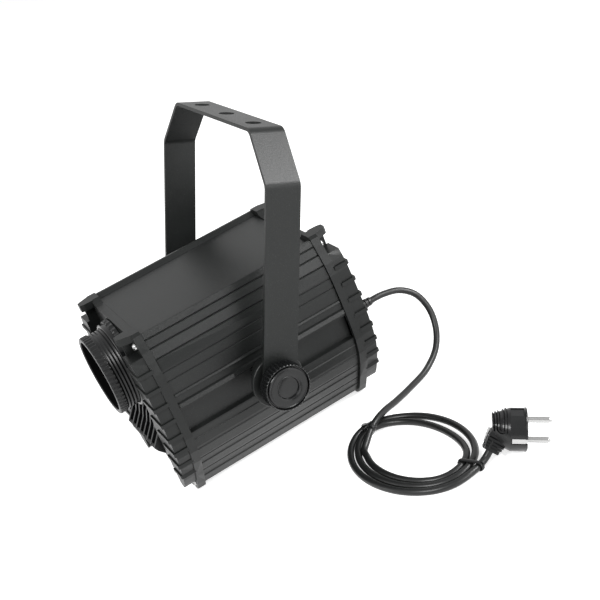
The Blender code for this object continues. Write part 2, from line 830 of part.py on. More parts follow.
def focus_tube():
    ridges = []
    for i in range(THREAD_RIDGES):
        near = TUBE_RIM_LENGTH + 0.8 + i * THREAD_PITCH
        ridges = [(THREAD_RADIUS, near + THREAD_PITCH / 2), (TUBE_RADIUS, near)] + ridges
    ledge = TUBE_RECESS_DEPTH + TUBE_LEDGE_LENGTH
    profile = [
        (TUBE_RADIUS, TUBE_LENGTH),
        (TUBE_RADIUS, TUBE_RIM_LENGTH + 0.8 + THREAD_RIDGES * THREAD_PITCH),
        *ridges,
        (TUBE_RIM_RADIUS - RIM_TOOTH, TUBE_RIM_LENGTH - 0.5),
        (TUBE_RIM_RADIUS - RIM_TOOTH, 0.8),
        (TUBE_RIM_RADIUS - 1.1, 0),
        (TUBE_RECESS, 0),
        (TUBE_RECESS, TUBE_RECESS_DEPTH),
        (TUBE_LEDGE, TUBE_RECESS_DEPTH),
        (TUBE_LEDGE, ledge),
        (TUBE_REAR_BORE, ledge),
        (TUBE_REAR_BORE, TUBE_LENGTH),
    ]
    shape = turned(profile, (0, -TUBE_FRONT, LENS_HEIGHT), "Y", 32)
    ring = []
    for i in range(RIM_TEETH):
        for share, radius in ((0.2, TUBE_RIM_RADIUS), (0.7, TUBE_RIM_RADIUS - 1.5 * RIM_TOOTH)):
            angle = TURN * (i + share) / RIM_TEETH
            ring.append((radius * math.cos(angle), LENS_HEIGHT + radius * math.sin(angle)))
    hole = circle((0, LENS_HEIGHT), (TUBE_RECESS + TUBE_RADIUS) / 2, 24)
    knurl = slab(ring, 1.3 - TUBE_FRONT, TUBE_RIM_LENGTH - 1 - TUBE_FRONT, holes=[hole])
    origin = (0, TUBE_RECESS_DEPTH - TUBE_FRONT, LENS_HEIGHT)
    finish("focus_tube", union(shape, knurl), BLACK_METAL, origin)


def lens(radius, edge, bulge, flat):
    """A plano-convex lens with its flat side at flat and its bulge towards -Y."""
    rim = radius - LENS_RIM
    profile = [(0, bulge + edge), (radius, bulge + edge), (radius, bulge)]
    profile += [(rim * (1 - k / 4), bulge * (1 - k / 4) ** 2) for k in range(5)]
    return turned(profile, (0, flat - bulge - edge, LENS_HEIGHT), "Y", 28, closed=False)


def ring(outer, inner, length, start, sides=28):
    """A plain tube along Y on the lens's axis."""
    profile = [(outer, length), (outer, 0), (inner, 0), (inner, length)]
    return turned(profile, (0, start, LENS_HEIGHT), "Y", sides)


def lenses():
    ledge = TUBE_RECESS_DEPTH - TUBE_FRONT
    radius = TUBE_RECESS - GAP
    flat = ledge - GAP
    finish("front_lens", lens(radius, LENS_EDGE, FRONT_LENS_BULGE, flat), LENS_GLASS)
    start = flat - LENS_EDGE - GAP - LENS_RING_LENGTH
    finish("front_lens_ring", ring(radius, radius - LENS_RIM, LENS_RING_LENGTH, start), BLACK_METAL)
    radius = TUBE_REAR_BORE - GAP
    flat = ledge + TUBE_LEDGE_LENGTH + GAP
    rear = flipped(lens(radius, LENS_EDGE, REAR_LENS_BULGE, flat), flat)
    finish("rear_lens", rear, LENS_GLASS)
    start = flat + LENS_EDGE + GAP
    finish("rear_lens_ring", ring(radius, radius - LENS_RIM, LENS_RING_LENGTH, start), BLACK_METAL)


def front_grille():
    seat = -SHELL_FRONT - CAP_BAND - 2 * GAP
    base = seat - GRILLE_BASE
    shape = box((-GRILLE_HALF, base, GRILLE_BOTTOM), (GRILLE_HALF, seat, GRILLE_TOP))
    fin = [(base + 0.5, GRILLE_TOP), *[(seat - y, z) for y, z in GRILLE_LINE]]
    fin.append((base + 0.5, GRILLE_BOTTOM))
    step = (2 * GRILLE_HALF - GRILLE_FIN_THICKNESS) / (GRILLE_FINS - 1)
    fins = []
    for i in range(GRILLE_FINS):
        low = -GRILLE_HALF + i * step
        fins.append(slab(fin, low, low + GRILLE_FIN_THICKNESS, "X"))
    (y0, z0), (y1, z1) = GRILLE_LINE[-2:]
    strip = [(seat - y0, z0), (seat - y1, z1), (seat - y1 + 2.2, z1 + 1.4), (seat - y0 + 2.2, z0 + 1.4)]
    strip = slab(strip, 0.2 - GRILLE_HALF, GRILLE_HALF - 0.2, "X")
    finish("front_grille", union(shape, joined(fins), strip), BLACK_METAL)


def light_engine():
    low = CHASSIS_TOP + GAP
    gate = cut(
        box((-GATE_HALF, GATE_PLACE, low), (GATE_HALF, GATE_PLACE + GATE_THICKNESS, GATE_TOP)),
        rod(GATE_HOLE, (0, GATE_PLACE - 5, LENS_HEIGHT), 15, "Y", 32),
    )
    finish("gate_plate", gate, BLACK_METAL)
    start = GATE_PLACE + GATE_THICKNESS + GAP
    end = SINK_PLACE - GAP - start
    bore = HOLDER_RADIUS - HOLDER_WALL
    profile = [
        (HOLDER_RADIUS, end),
        (HOLDER_RADIUS, 0),
        (bore - HOLDER_STEP, 0),
        (bore - HOLDER_STEP, CONDENSER_SEAT),
        (bore, CONDENSER_SEAT),
        (bore, end),
    ]
    finish("condenser_holder", turned(profile, (0, start, LENS_HEIGHT), "Y", 28), BLACK_METAL)
    flat = start + CONDENSER_SEAT + GAP + CONDENSER_EDGE
    condenser = lens(bore - GAP, CONDENSER_EDGE, CONDENSER_BULGE, flat)
    finish("condenser_lens", condenser, LENS_GLASS)
    back = SINK_PLACE + SINK_BASE
    comb = [(-SINK_HALF, SINK_PLACE), (SINK_HALF, SINK_PLACE)]
    step = (2 * SINK_HALF - SINK_FIN_THICKNESS) / (SINK_FINS - 1)
    for i in range(SINK_FINS):
        high = SINK_HALF - i * step
        comb += [(high, SINK_PLACE + SINK_LENGTH), (high - SINK_FIN_THICKNESS, SINK_PLACE + SINK_LENGTH)]
        if i < SINK_FINS - 1:
            comb += [(high - SINK_FIN_THICKNESS, back), (high - step, back)]
    finish("heat_sink", slab(comb, low, SINK_TOP, "Z"), ALUMINIUM)
    place = SINK_PLACE - GAP - BOARD_THICKNESS
    board = rod(BOARD_RADIUS, (0, place, LENS_HEIGHT), BOARD_THICKNESS, "Y", 32)
    finish("led_board", board, BOARD_WHITE)
    place -= GAP + EMITTER_THICKNESS
    emitter = rod(EMITTER_RADIUS, (0, place, LENS_HEIGHT), EMITTER_THICKNESS, "Y", 24)
    finish("led_emitter", emitter, EMITTER_YELLOW)


def chassis():
    foot = SIDE_LINE[-1][1] + COVER_THICKNESS + GAP
    half, thick = CHASSIS_HALF, CHASSIS_THICKNESS
    outline = [
        (-half, foot),
        (-half, CHASSIS_TOP),
        (half, CHASSIS_TOP),
        (half, foot),
        (half - thick, foot),
        (half - thick, CHASSIS_TOP - thick),
        (thick - half, CHASSIS_TOP - thick),
        (thick - half, foot),
    ]
    finish("chassis", slab(outline, -CHASSIS_FRONT, CHASSIS_REAR), ALUMINIUM)
    driver = box(
        (-DRIVER_HALF, -DRIVER_FRONT, foot),
        (DRIVER_HALF, DRIVER_LENGTH - DRIVER_FRONT, foot + DRIVER_HEIGHT),
    )
    bmesh.ops.bevel(driver, geom=list(driver.edges), offset=1.5, segments=1, affect="EDGES")
    finish("driver", driver, BLACK_METAL)
    block = box(
        (-TERMINAL_HALF, TERMINAL_FRONT, foot),
        (TERMINAL_HALF, TERMINAL_FRONT + TERMINAL_LENGTH, foot + TERMINAL_HEIGHT),
    )
    wells = []
    for i in (-1, 0, 1):
        place = (i * TERMINAL_HALF * 0.62, TERMINAL_FRONT + TERMINAL_LENGTH / 2, foot + 5)
        wells.append(rod(2.2, place, TERMINAL_HEIGHT, "Z", 12))
    finish("terminal_block", cut(block, joined(wells)), BOARD_WHITE)


def hexagon(centre, radius):
    return circle(centre, radius, 6)


def cable_gland():
    """The gland through the rear cap, its locknut inside, its dome nut and the cord's sleeve."""
    x, z = GLAND_PLACE
    web = CAP_FACE - WEB_THICKNESS
    start = web - GLAND_INNER
    hex_start = CAP_FACE + GAP
    hex_end = hex_start + GLAND_HEX_LENGTH
    bore = RELIEF_END_RADIUS + 2 * GAP
    reach = hex_end + 5
    profile = [
        (GLAND_THREAD_RADIUS - 0.8, reach - start),
        (GLAND_THREAD_RADIUS - 0.8, hex_end - start - 1),
        (GLAND_THREAD_RADIUS, hex_end - start - 1),
        (GLAND_THREAD_RADIUS, 0),
        (bore, 0),
        (bore, reach - start),
    ]
    tube = turned(profile, (x, start, z), "Y", 24)
    hole = circle((x, z), (bore + GLAND_THREAD_RADIUS - 0.8) / 2, 12)
    head = slab(hexagon((x, z), GLAND_HEX_RADIUS), hex_start, hex_end, holes=[hole])
    finish("cable_gland", union(tube, head), BLACK_PLASTIC)
    hole = circle((x, z), GLAND_THREAD_RADIUS + GAP, 24)
    low = web - GAP - LOCKNUT_THICKNESS
    nut = slab(hexagon((x, z), LOCKNUT_RADIUS), low, web - GAP, holes=[hole])
    finish("gland_locknut", nut, BLACK_PLASTIC)
    start = hex_end + GAP
    end = REAR_OF_PART - start
    profile = [
        (GLAND_DOME_RADIUS - 2.6, end),
        (GLAND_DOME_RADIUS - 0.9, end - 0.8),
        (GLAND_DOME_RADIUS, end - 3.5),
        (GLAND_DOME_RADIUS, 0),
        (GLAND_THREAD_RADIUS - 0.5, 0),
        (GLAND_THREAD_RADIUS - 0.5, 5.3),
        (bore, 5.3),
        (bore, end),
    ]
    finish("gland_nut", turned(profile, (x, start, z), "Y", 24), BLACK_PLASTIC)
    stub = REAR_OF_PART - hex_end
    end = stub + GAP + RELIEF_LENGTH
    profile = [
        (0, end),
        (RELIEF_END_RADIUS, end),
        (RELIEF_END_RADIUS + 0.3, end - 2.0),
        (RELIEF_RADIUS, stub + GAP + 3.0),
        (RELIEF_RADIUS, stub + GAP),
        (RELIEF_END_RADIUS, stub + GAP),
        (RELIEF_END_RADIUS, 0),
        (0, 0),
    ]
    sleeve = turned(profile, (x, hex_end, z), "Y", 20, closed=False)
    finish("strain_relief", sleeve, BLACK_RUBBER)


def rounded(line, radius, steps=3):
    """An open line with its inner corners rounded."""
    points = [line[0]]
    for before, corner, after in zip(line, line[1:], line[2:]):
        corner = Vector(corner)
        first = (Vector(before) - corner).normalized()
        second = (Vector(after) - corner).normalized()
        half = first.angle(second) / 2
        centre = corner + (first + second).normalized() * radius / math.sin(half)
        start = corner + first * radius / math.tan(half) - centre
        end = corner + second * radius / math.tan(half) - centre
        for i in range(steps + 1):
            arm = start.lerp(end, i / steps).normalized() * radius
            points.append(tuple(centre + arm))
    points.append(line[-1])
    return points


def yoke_bracket():
    half, width = YOKE_HALF, YOKE_WIDTH / 2
    right = [(half, -width), (half, YOKE_SHOULDER), (YOKE_TOP_HALF, YOKE_HEIGHT)]
    outer = right + [(-x, z) for x, z in reversed(right)]
    inner = offset_line(outer, [YOKE_THICKNESS] * len(outer))
    outline = rounded(outer, YOKE_BEND + YOKE_THICKNESS) + list(reversed(rounded(inner, YOKE_BEND)))
    shape = slab(outline, -width, width)
    arc = [(-width * math.cos(a), -width * math.sin(a)) for a in [TURN * k / 24 for k in range(13)]]
    corner = [(-width - 2, 0), *arc, (width + 2, 0), (width + 2, -width - 2), (-width - 2, -width - 2)]
    ends = slab(corner, -half - 1, half + 1, "X")
    holes = [rod(STUD_RADIUS + 2 * GAP, (-half - 1, 0, 0), 2 * half + 2, "X")]
    for i in (-1, 0, 1):
        start = (i * YOKE_HOLE_SPACING, 0, YOKE_HEIGHT - 2 * YOKE_THICKNESS)
        holes.append(rod(YOKE_HOLE_RADIUS, start, 3 * YOKE_THICKNESS, "Z"))
    shape = cut(shape, ends, joined(holes))
    lean = Matrix.Rotation(-math.radians(YOKE_LEAN), 4, "X")
    bmesh.ops.transform(shape, matrix=lean, verts=shape.verts)
    finish("yoke_bracket", shape, POWDER_COAT)


def on_both_sides(name, shape, look, place):
    """The shape on the right and its mirror image on the left, each with its origin on the axis."""
    left = mirrored(shape.copy())
    finish(f"{name}_right", shape, look, (place, 0, 0))
    finish(f"{name}_left", left, look, (-place, 0, 0))


def pivots():
    wall = side_x(CHANNEL_HEIGHT) - CHANNEL_DEPTH
    seat = side_x(RIB_HEIGHT, RIB_RISE) + 2 * GAP
    flange_end = YOKE_HALF - YOKE_THICKNESS - GAP - seat
    bore = STUD_RADIUS + GAP
    profile = [
        (0, flange_end),
        (SPACER_FLANGE_RADIUS - 0.6, flange_end),
        (SPACER_FLANGE_RADIUS, flange_end - 0.6),
        (SPACER_FLANGE_RADIUS, flange_end - SPACER_FLANGE),
        (SPACER_RADIUS, flange_end - SPACER_FLANGE),
        (SPACER_RADIUS, 0),
        (0, 0),
    ]
    spacer = turned(profile, (seat, 0, 0), "X", 28, closed=False)
    top = CHANNEL_HEIGHT + CHANNEL_WIDTH / 2 - 4 * GAP
    foot = box((wall + GAP, -SPACER_FOOT, -SPACER_FOOT), (seat + 1, SPACER_FOOT, top))
    spacer = cut(union(spacer, foot), rod(bore, (wall - 1, 0, 0), YOKE_HALF, "X", 20))
    on_both_sides("pivot_spacer", spacer, CAST_BLACK, seat)
    washer = YOKE_HALF + GAP
    profile = [(WASHER_RADIUS, WASHER_THICKNESS), (WASHER_RADIUS, 0), (bore, 0), (bore, WASHER_THICKNESS)]
    on_both_sides("pivot_washer", turned(profile, (washer, 0, 0), "X", 24), BRIGHT_STEEL, washer)

    base = washer + WASHER_THICKNESS + GAP
    outline = []
    for i in range(KNOB_TEETH):
        for share, radius in ((0.2, KNOB_RADIUS), (0.7, KNOB_RADIUS - KNOB_TOOTH)):
            angle = TURN * (i + share) / KNOB_TEETH
            outline.append((radius * math.cos(angle), radius * math.sin(angle)))
    grip = slab(outline, base, base + KNOB_DEPTH - 3.0, "X")
    dish = KNOB_DEPTH - KNOB_DISH_DEPTH
    profile = [
        (0, dish),
        (KNOB_DISH_RADIUS, dish),
        (KNOB_DISH_RADIUS + 0.6, KNOB_DEPTH),
        (KNOB_FACE_RADIUS - 4.4, KNOB_DEPTH),
        (KNOB_FACE_RADIUS - 3.8, KNOB_DEPTH - 0.7),
        (KNOB_FACE_RADIUS - 1.4, KNOB_DEPTH - 0.7),
        (KNOB_FACE_RADIUS, KNOB_DEPTH - 2.0),
        (KNOB_FACE_RADIUS, KNOB_DEPTH - 4.0),
        (0, KNOB_DEPTH - 4.0),
    ]
    face = turned(profile, (base, 0, 0), "X", 28, closed=False)
    socket = rod(STUD_RADIUS + GAP, (base - 1, 0, 0), KNOB_SOCKET_DEPTH + 1, "X")
    on_both_sides("tilt_knob", cut(union(grip, face), socket), BLACK_PLASTIC, base)

    inner = wall - SHELL_WALL - GAP - NUT_THICKNESS
    stud = rod(STUD_RADIUS, (inner - 3, 0, 0), base + KNOB_SOCKET_DEPTH - GAP - inner + 3, "X", 20)
    on_both_sides("pivot_stud", stud, BRIGHT_STEEL, base)
    hole = circle((0, 0), STUD_RADIUS + GAP, 20)
    ring_points = hexagon((0, 0), NUT_ACROSS / math.sqrt(3))
    nut = slab(ring_points, inner, inner + NUT_THICKNESS, "X", holes=[hole])
    on_both_sides("pivot_nut", nut, BRIGHT_STEEL, inner)


def wave(angle, middle, reach):
    """One at the middle angle, falling smoothly to nothing at the reach on either side."""
    away = (angle - middle + 180) % 360 - 180
    return math.cos(TURN / 4 * away / reach) ** 2 if abs(away) < reach else 0.0


def coil_point(turns):
    angle = COIL_START + 360 * turns
    spread = 1 + COIL_SPREAD * wave(angle, COIL_SPREAD_AT, COIL_SPREAD_REACH)
    out = COIL_PITCH * (turns - COIL_MIDDLE_TURN) * spread
    lean = math.radians(COIL_LEAN)
    along = math.radians(angle) - lean
    u = (COIL_HALF_LENGTH + out) * math.cos(along)
    v = (COIL_HALF_WIDTH + out) * math.sin(along)
    x = COIL_CENTRE[0] + u * math.cos(lean) - v * math.sin(lean)
    y = COIL_CENTRE[1] + u * math.sin(lean) + v * math.cos(lean)
    lift = sum(wave(angle, tie, TIE_REACH) for tie in TIE_ANGLES)
    return Vector((x, y, CORD_RADIUS + CORD_LIFT + TIE_LIFT * lift - PIVOT_HEIGHT))


def coil_line(per_turn):
    count = round(COIL_TURNS * per_turn)
    inner = [COIL_TURNS * i / count for i in range(1, count)]
    turns = [0, COIL_END_STEP, *inner, COIL_TURNS - COIL_END_STEP, COIL_TURNS]
    return [coil_point(place) for place in turns]


def smoothed(route, step):
    """Points along a smooth curve through every point of a route, with straight first and last steps."""
    inner = route[1:-1]
    lead = (inner[0] - route[0]).normalized() * (inner[1] - inner[0]).length
    trail = (route[-1] - inner[-1]).normalized() * (inner[-1] - inner[-2]).length
    points = [inner[1] - 2 * lead, *inner, inner[-2] + 2 * trail]
    dense = []
    for before, start, end, after in zip(points, points[1:], points[2:], points[3:]):
        for k in range(12):
            t = k / 12
            dense.append(
                start
                + 0.5 * t * (end - before)
                + t * t * (before - 2.5 * start + 2 * end - 0.5 * after)
                + t**3 * (1.5 * start - 0.5 * before - 1.5 * end + 0.5 * after)
            )
    dense.append(inner[-1])
    lengths = [0.0]
    for start, end in zip(dense, dense[1:]):
        lengths.append(lengths[-1] + (end - start).length)
    count = max(round(lengths[-1] / step), 2)
    line = [route[0]]
    k = 0
    for i in range(count + 1):
        place = lengths[-1] * i / count
        while k < len(lengths) - 2 and lengths[k + 1] < place:
            k += 1
        share = (place - lengths[k]) / (lengths[k + 1] - lengths[k])
        line.append(dense[k].lerp(dense[k + 1], min(share, 1.0)))
    return [*line, route[-1]]


def above_ground(x, y, height):
    return Vector((x, y, height - PIVOT_HEIGHT))


def run_line():
    """The cord from the end of its sleeve down to the coil's inner end."""
    x, z = GLAND_PLACE
    start = Vector((x, REAR_OF_PART + GAP + RELIEF_LENGTH + GAP, z))
    straight = Vector((0, 2 * CORD_RADIUS, 0))
    end = coil_point(0)
    way = (coil_point(COIL_END_STEP) - end).normalized()
    route = [start, start + straight, *[above_ground(*point) for point in RUN_ROUTE]]
    return smoothed([*route, end - 2 * CORD_RADIUS * way, end - GAP * way], CORD_STEP)


def plug_matrix():
    """The plug's frame: its pins point along X, and the line through both of them along Z."""
    pitch = math.radians(PLUG_PITCH)
    height = PLUG_RADIUS * math.cos(pitch) + PLUG_DEPTH / 2 * math.sin(pitch)
    place = above_ground(*PLUG_PLACE, height + CORD_LIFT)
    turn = Matrix.Rotation(math.radians(PLUG_TURN), 4, "Z")
    return Matrix.Translation(place) @ turn @ Matrix.Rotation(pitch, 4, "Y")


def neck_line():
    """The two ends of the plug's ribbed neck, from inside the plug outwards."""
    root = plug_matrix() @ Vector((-(PLUG_DEPTH / 2 + 0.4 * PLUG_BACK_DEPTH), 0, 0))
    return root, above_ground(*NECK_END)


def tail_line():
    """The cord from the coil's outer end up into the plug's neck."""
    start = coil_point(COIL_TURNS)
    way = (start - coil_point(COIL_TURNS - COIL_END_STEP)).normalized()
    root, end = neck_line()
    neck = (end - root).normalized()
    route = [start + GAP * way, start + 2 * CORD_RADIUS * way]
    route += [end + 2 * CORD_RADIUS * neck, end + GAP * neck]
    return smoothed(route, CORD_STEP / 3)


def tube(points, radius, resolution=2, closed=False):
    curve = bpy.data.curves.new("tube", "CURVE")
    curve.dimensions = "3D"
    curve.bevel_depth = radius
    curve.bevel_resolution = resolution
    curve.use_fill_caps = not closed
    spline = curve.splines.new("POLY")
    spline.points.add(len(points) - 1)
    for point, place in zip(spline.points, points):
        point.co = (*place, 1)
    spline.use_cyclic_u = closed
    return mesh_of(in_scene("tube", curve))


def least_gap(line, apart):
    """The least gap between turns of a cord whose points lie at least this many places apart."""
    gaps = []
    for i, point in enumerate(line):
        for other in line[i + apart :]:
            gaps.append((other - point).length)
    return min(gaps) - 2 * CORD_RADIUS


def hull(points):
    """The convex outline round flat points, counter-clockwise."""
    points = sorted(points)
    sides = []
    for run in (points, list(reversed(points))):
        side = []
        for p in run:
            while len(side) > 1:
                (ax, ay), (bx, by) = side[-2:]
                if (bx - ax) * (p[1] - ay) - (by - ay) * (p[0] - ax) > 1e-6:
                    break
                side.pop()
            side.append(p)
        sides += side[:-1]
    return sides


def tie_loop(angle, lines):
    """The loop of a wire tie round every cord that passes it, square to the coil."""
    turns = 1 + ((angle - COIL_START) % 360) / 360
    place = coil_point(turns)
    way = coil_point(turns + 0.005) - coil_point(turns - 0.005)
    way = Vector((way.x, way.y, 0)).normalized()
    across = Vector((way.y, -way.x, 0))
    rings = []
    for line in lines:
        for start, end in zip(line, line[1:]):
            first, last = (start - place).dot(way), (end - place).dot(way)
            if first * last < 0 and (start - place).length < 4 * COIL_PITCH:
                crossing = start.lerp(end, first / (first - last)) - place
                centre = (crossing.dot(across), crossing.z)
                rings += circle(centre, CORD_RADIUS + GAP + TIE_RADIUS, 16)
    return [place + across * u + Vector((0, 0, w)) for u, w in hull(rings)]


def cord():
    fine = coil_line(120)
    print(f"coil: least gap to itself {least_gap(fine, 60):.2f} mm")
    run, tail = run_line(), tail_line()
    finish("cord_run", tube(run, CORD_RADIUS), BLACK_RUBBER)
    finish("cord_coil", tube(coil_line(COIL_POINTS_PER_TURN), CORD_RADIUS, 1), BLACK_RUBBER)
    finish("cord_tail", tube(tail, CORD_RADIUS), BLACK_RUBBER)
    for name, angle in zip(("tie_inner", "tie_outer"), TIE_ANGLES):
        loop = tie_loop(angle, (run, fine, tail))
        finish(name, tube(loop, TIE_RADIUS, 0, closed=True), BLACK_PLASTIC)


def plug():
    frame = plug_matrix()
    depth, back = PLUG_DEPTH / 2, PLUG_DEPTH / 2 + PLUG_BACK_DEPTH
    profile = [
        (0, depth),
        (PLUG_RADIUS - 0.6, depth),
        (PLUG_RADIUS, depth - 0.6),
        (PLUG_RADIUS, -depth),
        (PLUG_BACK_RADIUS, -back),
        (0, -back),
    ]
    body = turned(profile, (0, 0, 0), "X", 28, closed=False)
    cuts = []
    contacts = []
    for side in (-1, 1):
        low, high = sorted((side * (PLUG_RADIUS - PLUG_NOTCH_DEPTH), side * (PLUG_RADIUS + 1)))
        half = PLUG_NOTCH_WIDTH / 2
        cuts.append(box((1 - depth, low, -half), (depth + 1, high, half)))
        low, high = sorted((side * (PLUG_RADIUS - 1.2), side * (PLUG_RADIUS - PLUG_NOTCH_DEPTH + GAP)))
        half -= GAP
        contacts.append(box((1 + GAP - depth, low, -half), (depth - GAP, high, half)))
    body = cut(body, joined(cuts))
    pins = []
    for side in (-1, 1):
        start = (depth - PIN_ROOT, 0, side * PIN_SPACING / 2)
        body = cut(body, rod(PIN_RADIUS + GAP, start, PIN_ROOT + 1, "X", 16))
        shaft = [
            (0, PIN_ROOT + PIN_LENGTH - GAP),
            (PIN_RADIUS - 0.9, PIN_ROOT + PIN_LENGTH - GAP),
            (PIN_RADIUS, PIN_ROOT + PIN_LENGTH - 2.5),
            (PIN_RADIUS, 0),
            (0, 0),
        ]
        pins.append(turned(shaft, (depth - PIN_ROOT + GAP, 0, side * PIN_SPACING / 2), "X", 16, closed=False))
    bmesh.ops.transform(body, matrix=frame, verts=body.verts)
    root, end = neck_line()
    way = end - root
    count = 2 * NECK_RIBS
    rings = []
    for i in range(count, -1, -1):
        share = i / count
        radius = NECK_RADIUS + (NECK_END_RADIUS - NECK_RADIUS) * share
        height = way.length * (0.35 + 0.65 * share)
        if i % 2:
            rings += [(radius, height)]
        else:
            rings += [(radius + 0.2, height)]
            if 0 < i < count:
                rings[-1:] = [(radius + 0.3, height + 0.6), (radius + 0.3, height - 0.6)]
    profile = [(0, way.length), *rings, (NECK_RADIUS, 0), (0, 0)]
    neck = turned(profile, (0, 0, 0), "Z", 20, closed=False)
    aim = Vector((0, 0, 1)).rotation_difference(way).to_matrix().to_4x4()
    bmesh.ops.transform(neck, matrix=Matrix.Translation(root) @ aim, verts=neck.verts)
    finish("plug_body", union(body, neck), BLACK_PLASTIC)
    for name, pieces in (("plug_pin", pins), ("earth_contact", contacts)):
        for i, piece in enumerate(pieces):
            bmesh.ops.transform(piece, matrix=frame, verts=piece.verts)
            finish(f"{name}_{i + 1}", piece, BRIGHT_STEEL)


def build():
    side_shells()
    covers()
    end_caps()
    cap_screws()
    lens_mount()
    focus_tube()
    lenses()
    front_grille()
    chassis()
    light_engine()
    cable_gland()
    yoke_bracket()
    pivots()
    cord()
    plug()


build()
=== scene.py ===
# %% [markdown]
# # Dressing a stage spotlight
#
# The spotlight is already built as solids, packed with its joints and loaded here as a fixed frame.
# This lesson gives it its looks: a camera and a cord first, then one finish after another, and then
# the pieces whose fine shape is too heavy for the solids, such as fluted knobs and a ribbed plug.
# Lengths are in millimetres, and a place is measured from the yoke's pivot, where the light turns.

# %% Load the frame
import json
import math

import bmesh
import bpy
from mathutils import Matrix, Vector


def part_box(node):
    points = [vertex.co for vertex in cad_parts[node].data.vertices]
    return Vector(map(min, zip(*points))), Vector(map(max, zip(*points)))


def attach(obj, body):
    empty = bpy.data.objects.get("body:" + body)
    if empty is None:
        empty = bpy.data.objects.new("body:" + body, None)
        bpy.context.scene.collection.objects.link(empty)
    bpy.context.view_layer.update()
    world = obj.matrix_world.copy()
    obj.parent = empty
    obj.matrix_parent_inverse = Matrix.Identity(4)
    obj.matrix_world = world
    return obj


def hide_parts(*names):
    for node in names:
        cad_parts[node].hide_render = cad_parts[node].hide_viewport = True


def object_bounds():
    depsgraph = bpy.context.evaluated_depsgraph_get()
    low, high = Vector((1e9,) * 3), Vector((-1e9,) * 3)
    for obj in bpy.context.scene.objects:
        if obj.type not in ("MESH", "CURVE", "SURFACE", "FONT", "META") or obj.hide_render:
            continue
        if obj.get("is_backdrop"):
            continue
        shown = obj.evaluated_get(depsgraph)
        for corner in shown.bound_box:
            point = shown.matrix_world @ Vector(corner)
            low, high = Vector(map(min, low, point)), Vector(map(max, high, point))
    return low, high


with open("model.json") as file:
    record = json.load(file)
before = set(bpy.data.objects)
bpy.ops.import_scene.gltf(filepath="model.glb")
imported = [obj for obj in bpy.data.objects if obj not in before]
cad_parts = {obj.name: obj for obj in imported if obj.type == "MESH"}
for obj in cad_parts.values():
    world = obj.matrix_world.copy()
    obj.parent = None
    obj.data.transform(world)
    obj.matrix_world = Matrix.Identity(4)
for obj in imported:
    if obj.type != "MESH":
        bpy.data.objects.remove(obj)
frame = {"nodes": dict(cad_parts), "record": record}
nodes = frame["nodes"]
cad_low, cad_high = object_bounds()
print("overall size in mm:", [round(1000 * side) for side in cad_high - cad_low])

# %% [markdown]
# ## Where the pivot is
#
# The studs that hold the yoke lie exactly on the pivot's axis, so the middle of one of them gives
# the pivot's place in the frame. X runs towards the knob called right, Y from the lens to the rear
# cap, and Z up. One matrix carries a finished shape from there into the frame's metres.

# %% Find the pivot
MM = 0.001
TURN = 2 * math.pi
stud_low, stud_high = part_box("pivot_stud_right")
pivot = (stud_low + stud_high) / 2
pivot.x = 0
TO_FRAME = Matrix.Translation(pivot) @ Matrix.Scale(MM, 4)
GROUND = -pivot.z / MM
print(f"the pivot is {pivot.z / MM:.1f} mm above the ground")


def in_frame(x, y, z):
    """A place in millimetres from the pivot, as a point of the frame in metres."""
    return TO_FRAME @ Vector((x, y, z))


def box_from_pivot(node):
    """The two corners of a solid's box, in millimetres from the pivot."""
    low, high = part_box(node)
    return (low - pivot) / MM, (high - pivot) / MM


# %% [markdown]
# ## The camera
#
# The light is seen from above its right side, turned a little towards the lens, with a long lens
# from about a metre away. The picture is also tipped, because the light was leaning when it was
# taken while its yoke hung upright. A camera's own axes are right, up and backwards, so three unit
# vectors as the columns of a matrix set all of that at once, with no aiming or rolling by hand.

# %% Place the camera
CAMERA_PLACE = (929.3, -233.9, 476.1)
CAMERA_AZIMUTH, CAMERA_RISE, CAMERA_TIP = math.radians(71.43), math.radians(25.96), math.radians(21.3)
FOCAL_LENGTH, SENSOR_WIDTH = 72.18, 36
CLIP_START, CLIP_END = 0.05, 60

level_reach = math.cos(CAMERA_RISE)
back_x, back_y = math.sin(CAMERA_AZIMUTH) * level_reach, -math.cos(CAMERA_AZIMUTH) * level_reach
back = Vector((back_x, back_y, math.sin(CAMERA_RISE)))
level = Vector((0, 0, 1)).cross(back).normalized()
right = Matrix.Rotation(-CAMERA_TIP, 3, back) @ level
axes = Matrix((right, back.cross(right), back)).transposed()

camera_data = bpy.data.cameras.new("portrait_camera")
camera_data.lens, camera_data.sensor_width = FOCAL_LENGTH, SENSOR_WIDTH
camera_data.clip_start, camera_data.clip_end = CLIP_START, CLIP_END
camera = bpy.data.objects.new("portrait_camera", camera_data)
camera.matrix_world = Matrix.Translation(in_frame(*CAMERA_PLACE)) @ axes.to_4x4()
bpy.context.scene.collection.objects.link(camera)
bpy.context.scene.camera = camera
print(f"camera {(camera.location - pivot).length:.2f} m away, {FOCAL_LENGTH:.0f} mm lens")

# %% [markdown]
# ## The cord's free stretch
#
# The mains cord is one metre of round PVC cable. It leaves the gland in the rear cap, drops to the
# ground in one bow, slips under the first tie, winds two and a third flat turns and comes out of the
# second tie up into the plug. No rule says how the bow hangs, so it has points of its own, each with
# its height above the ground.

# %% Points along the bow
CORD_RADIUS = 3.0
GAP = 0.3
relief_low, relief_high = box_from_pivot("strain_relief")
gland_axis = ((relief_low.x + relief_high.x) / 2, (relief_low.z + relief_high.z) / 2)
cord_start = Vector((gland_axis[0], relief_high.y + GAP, gland_axis[1]))

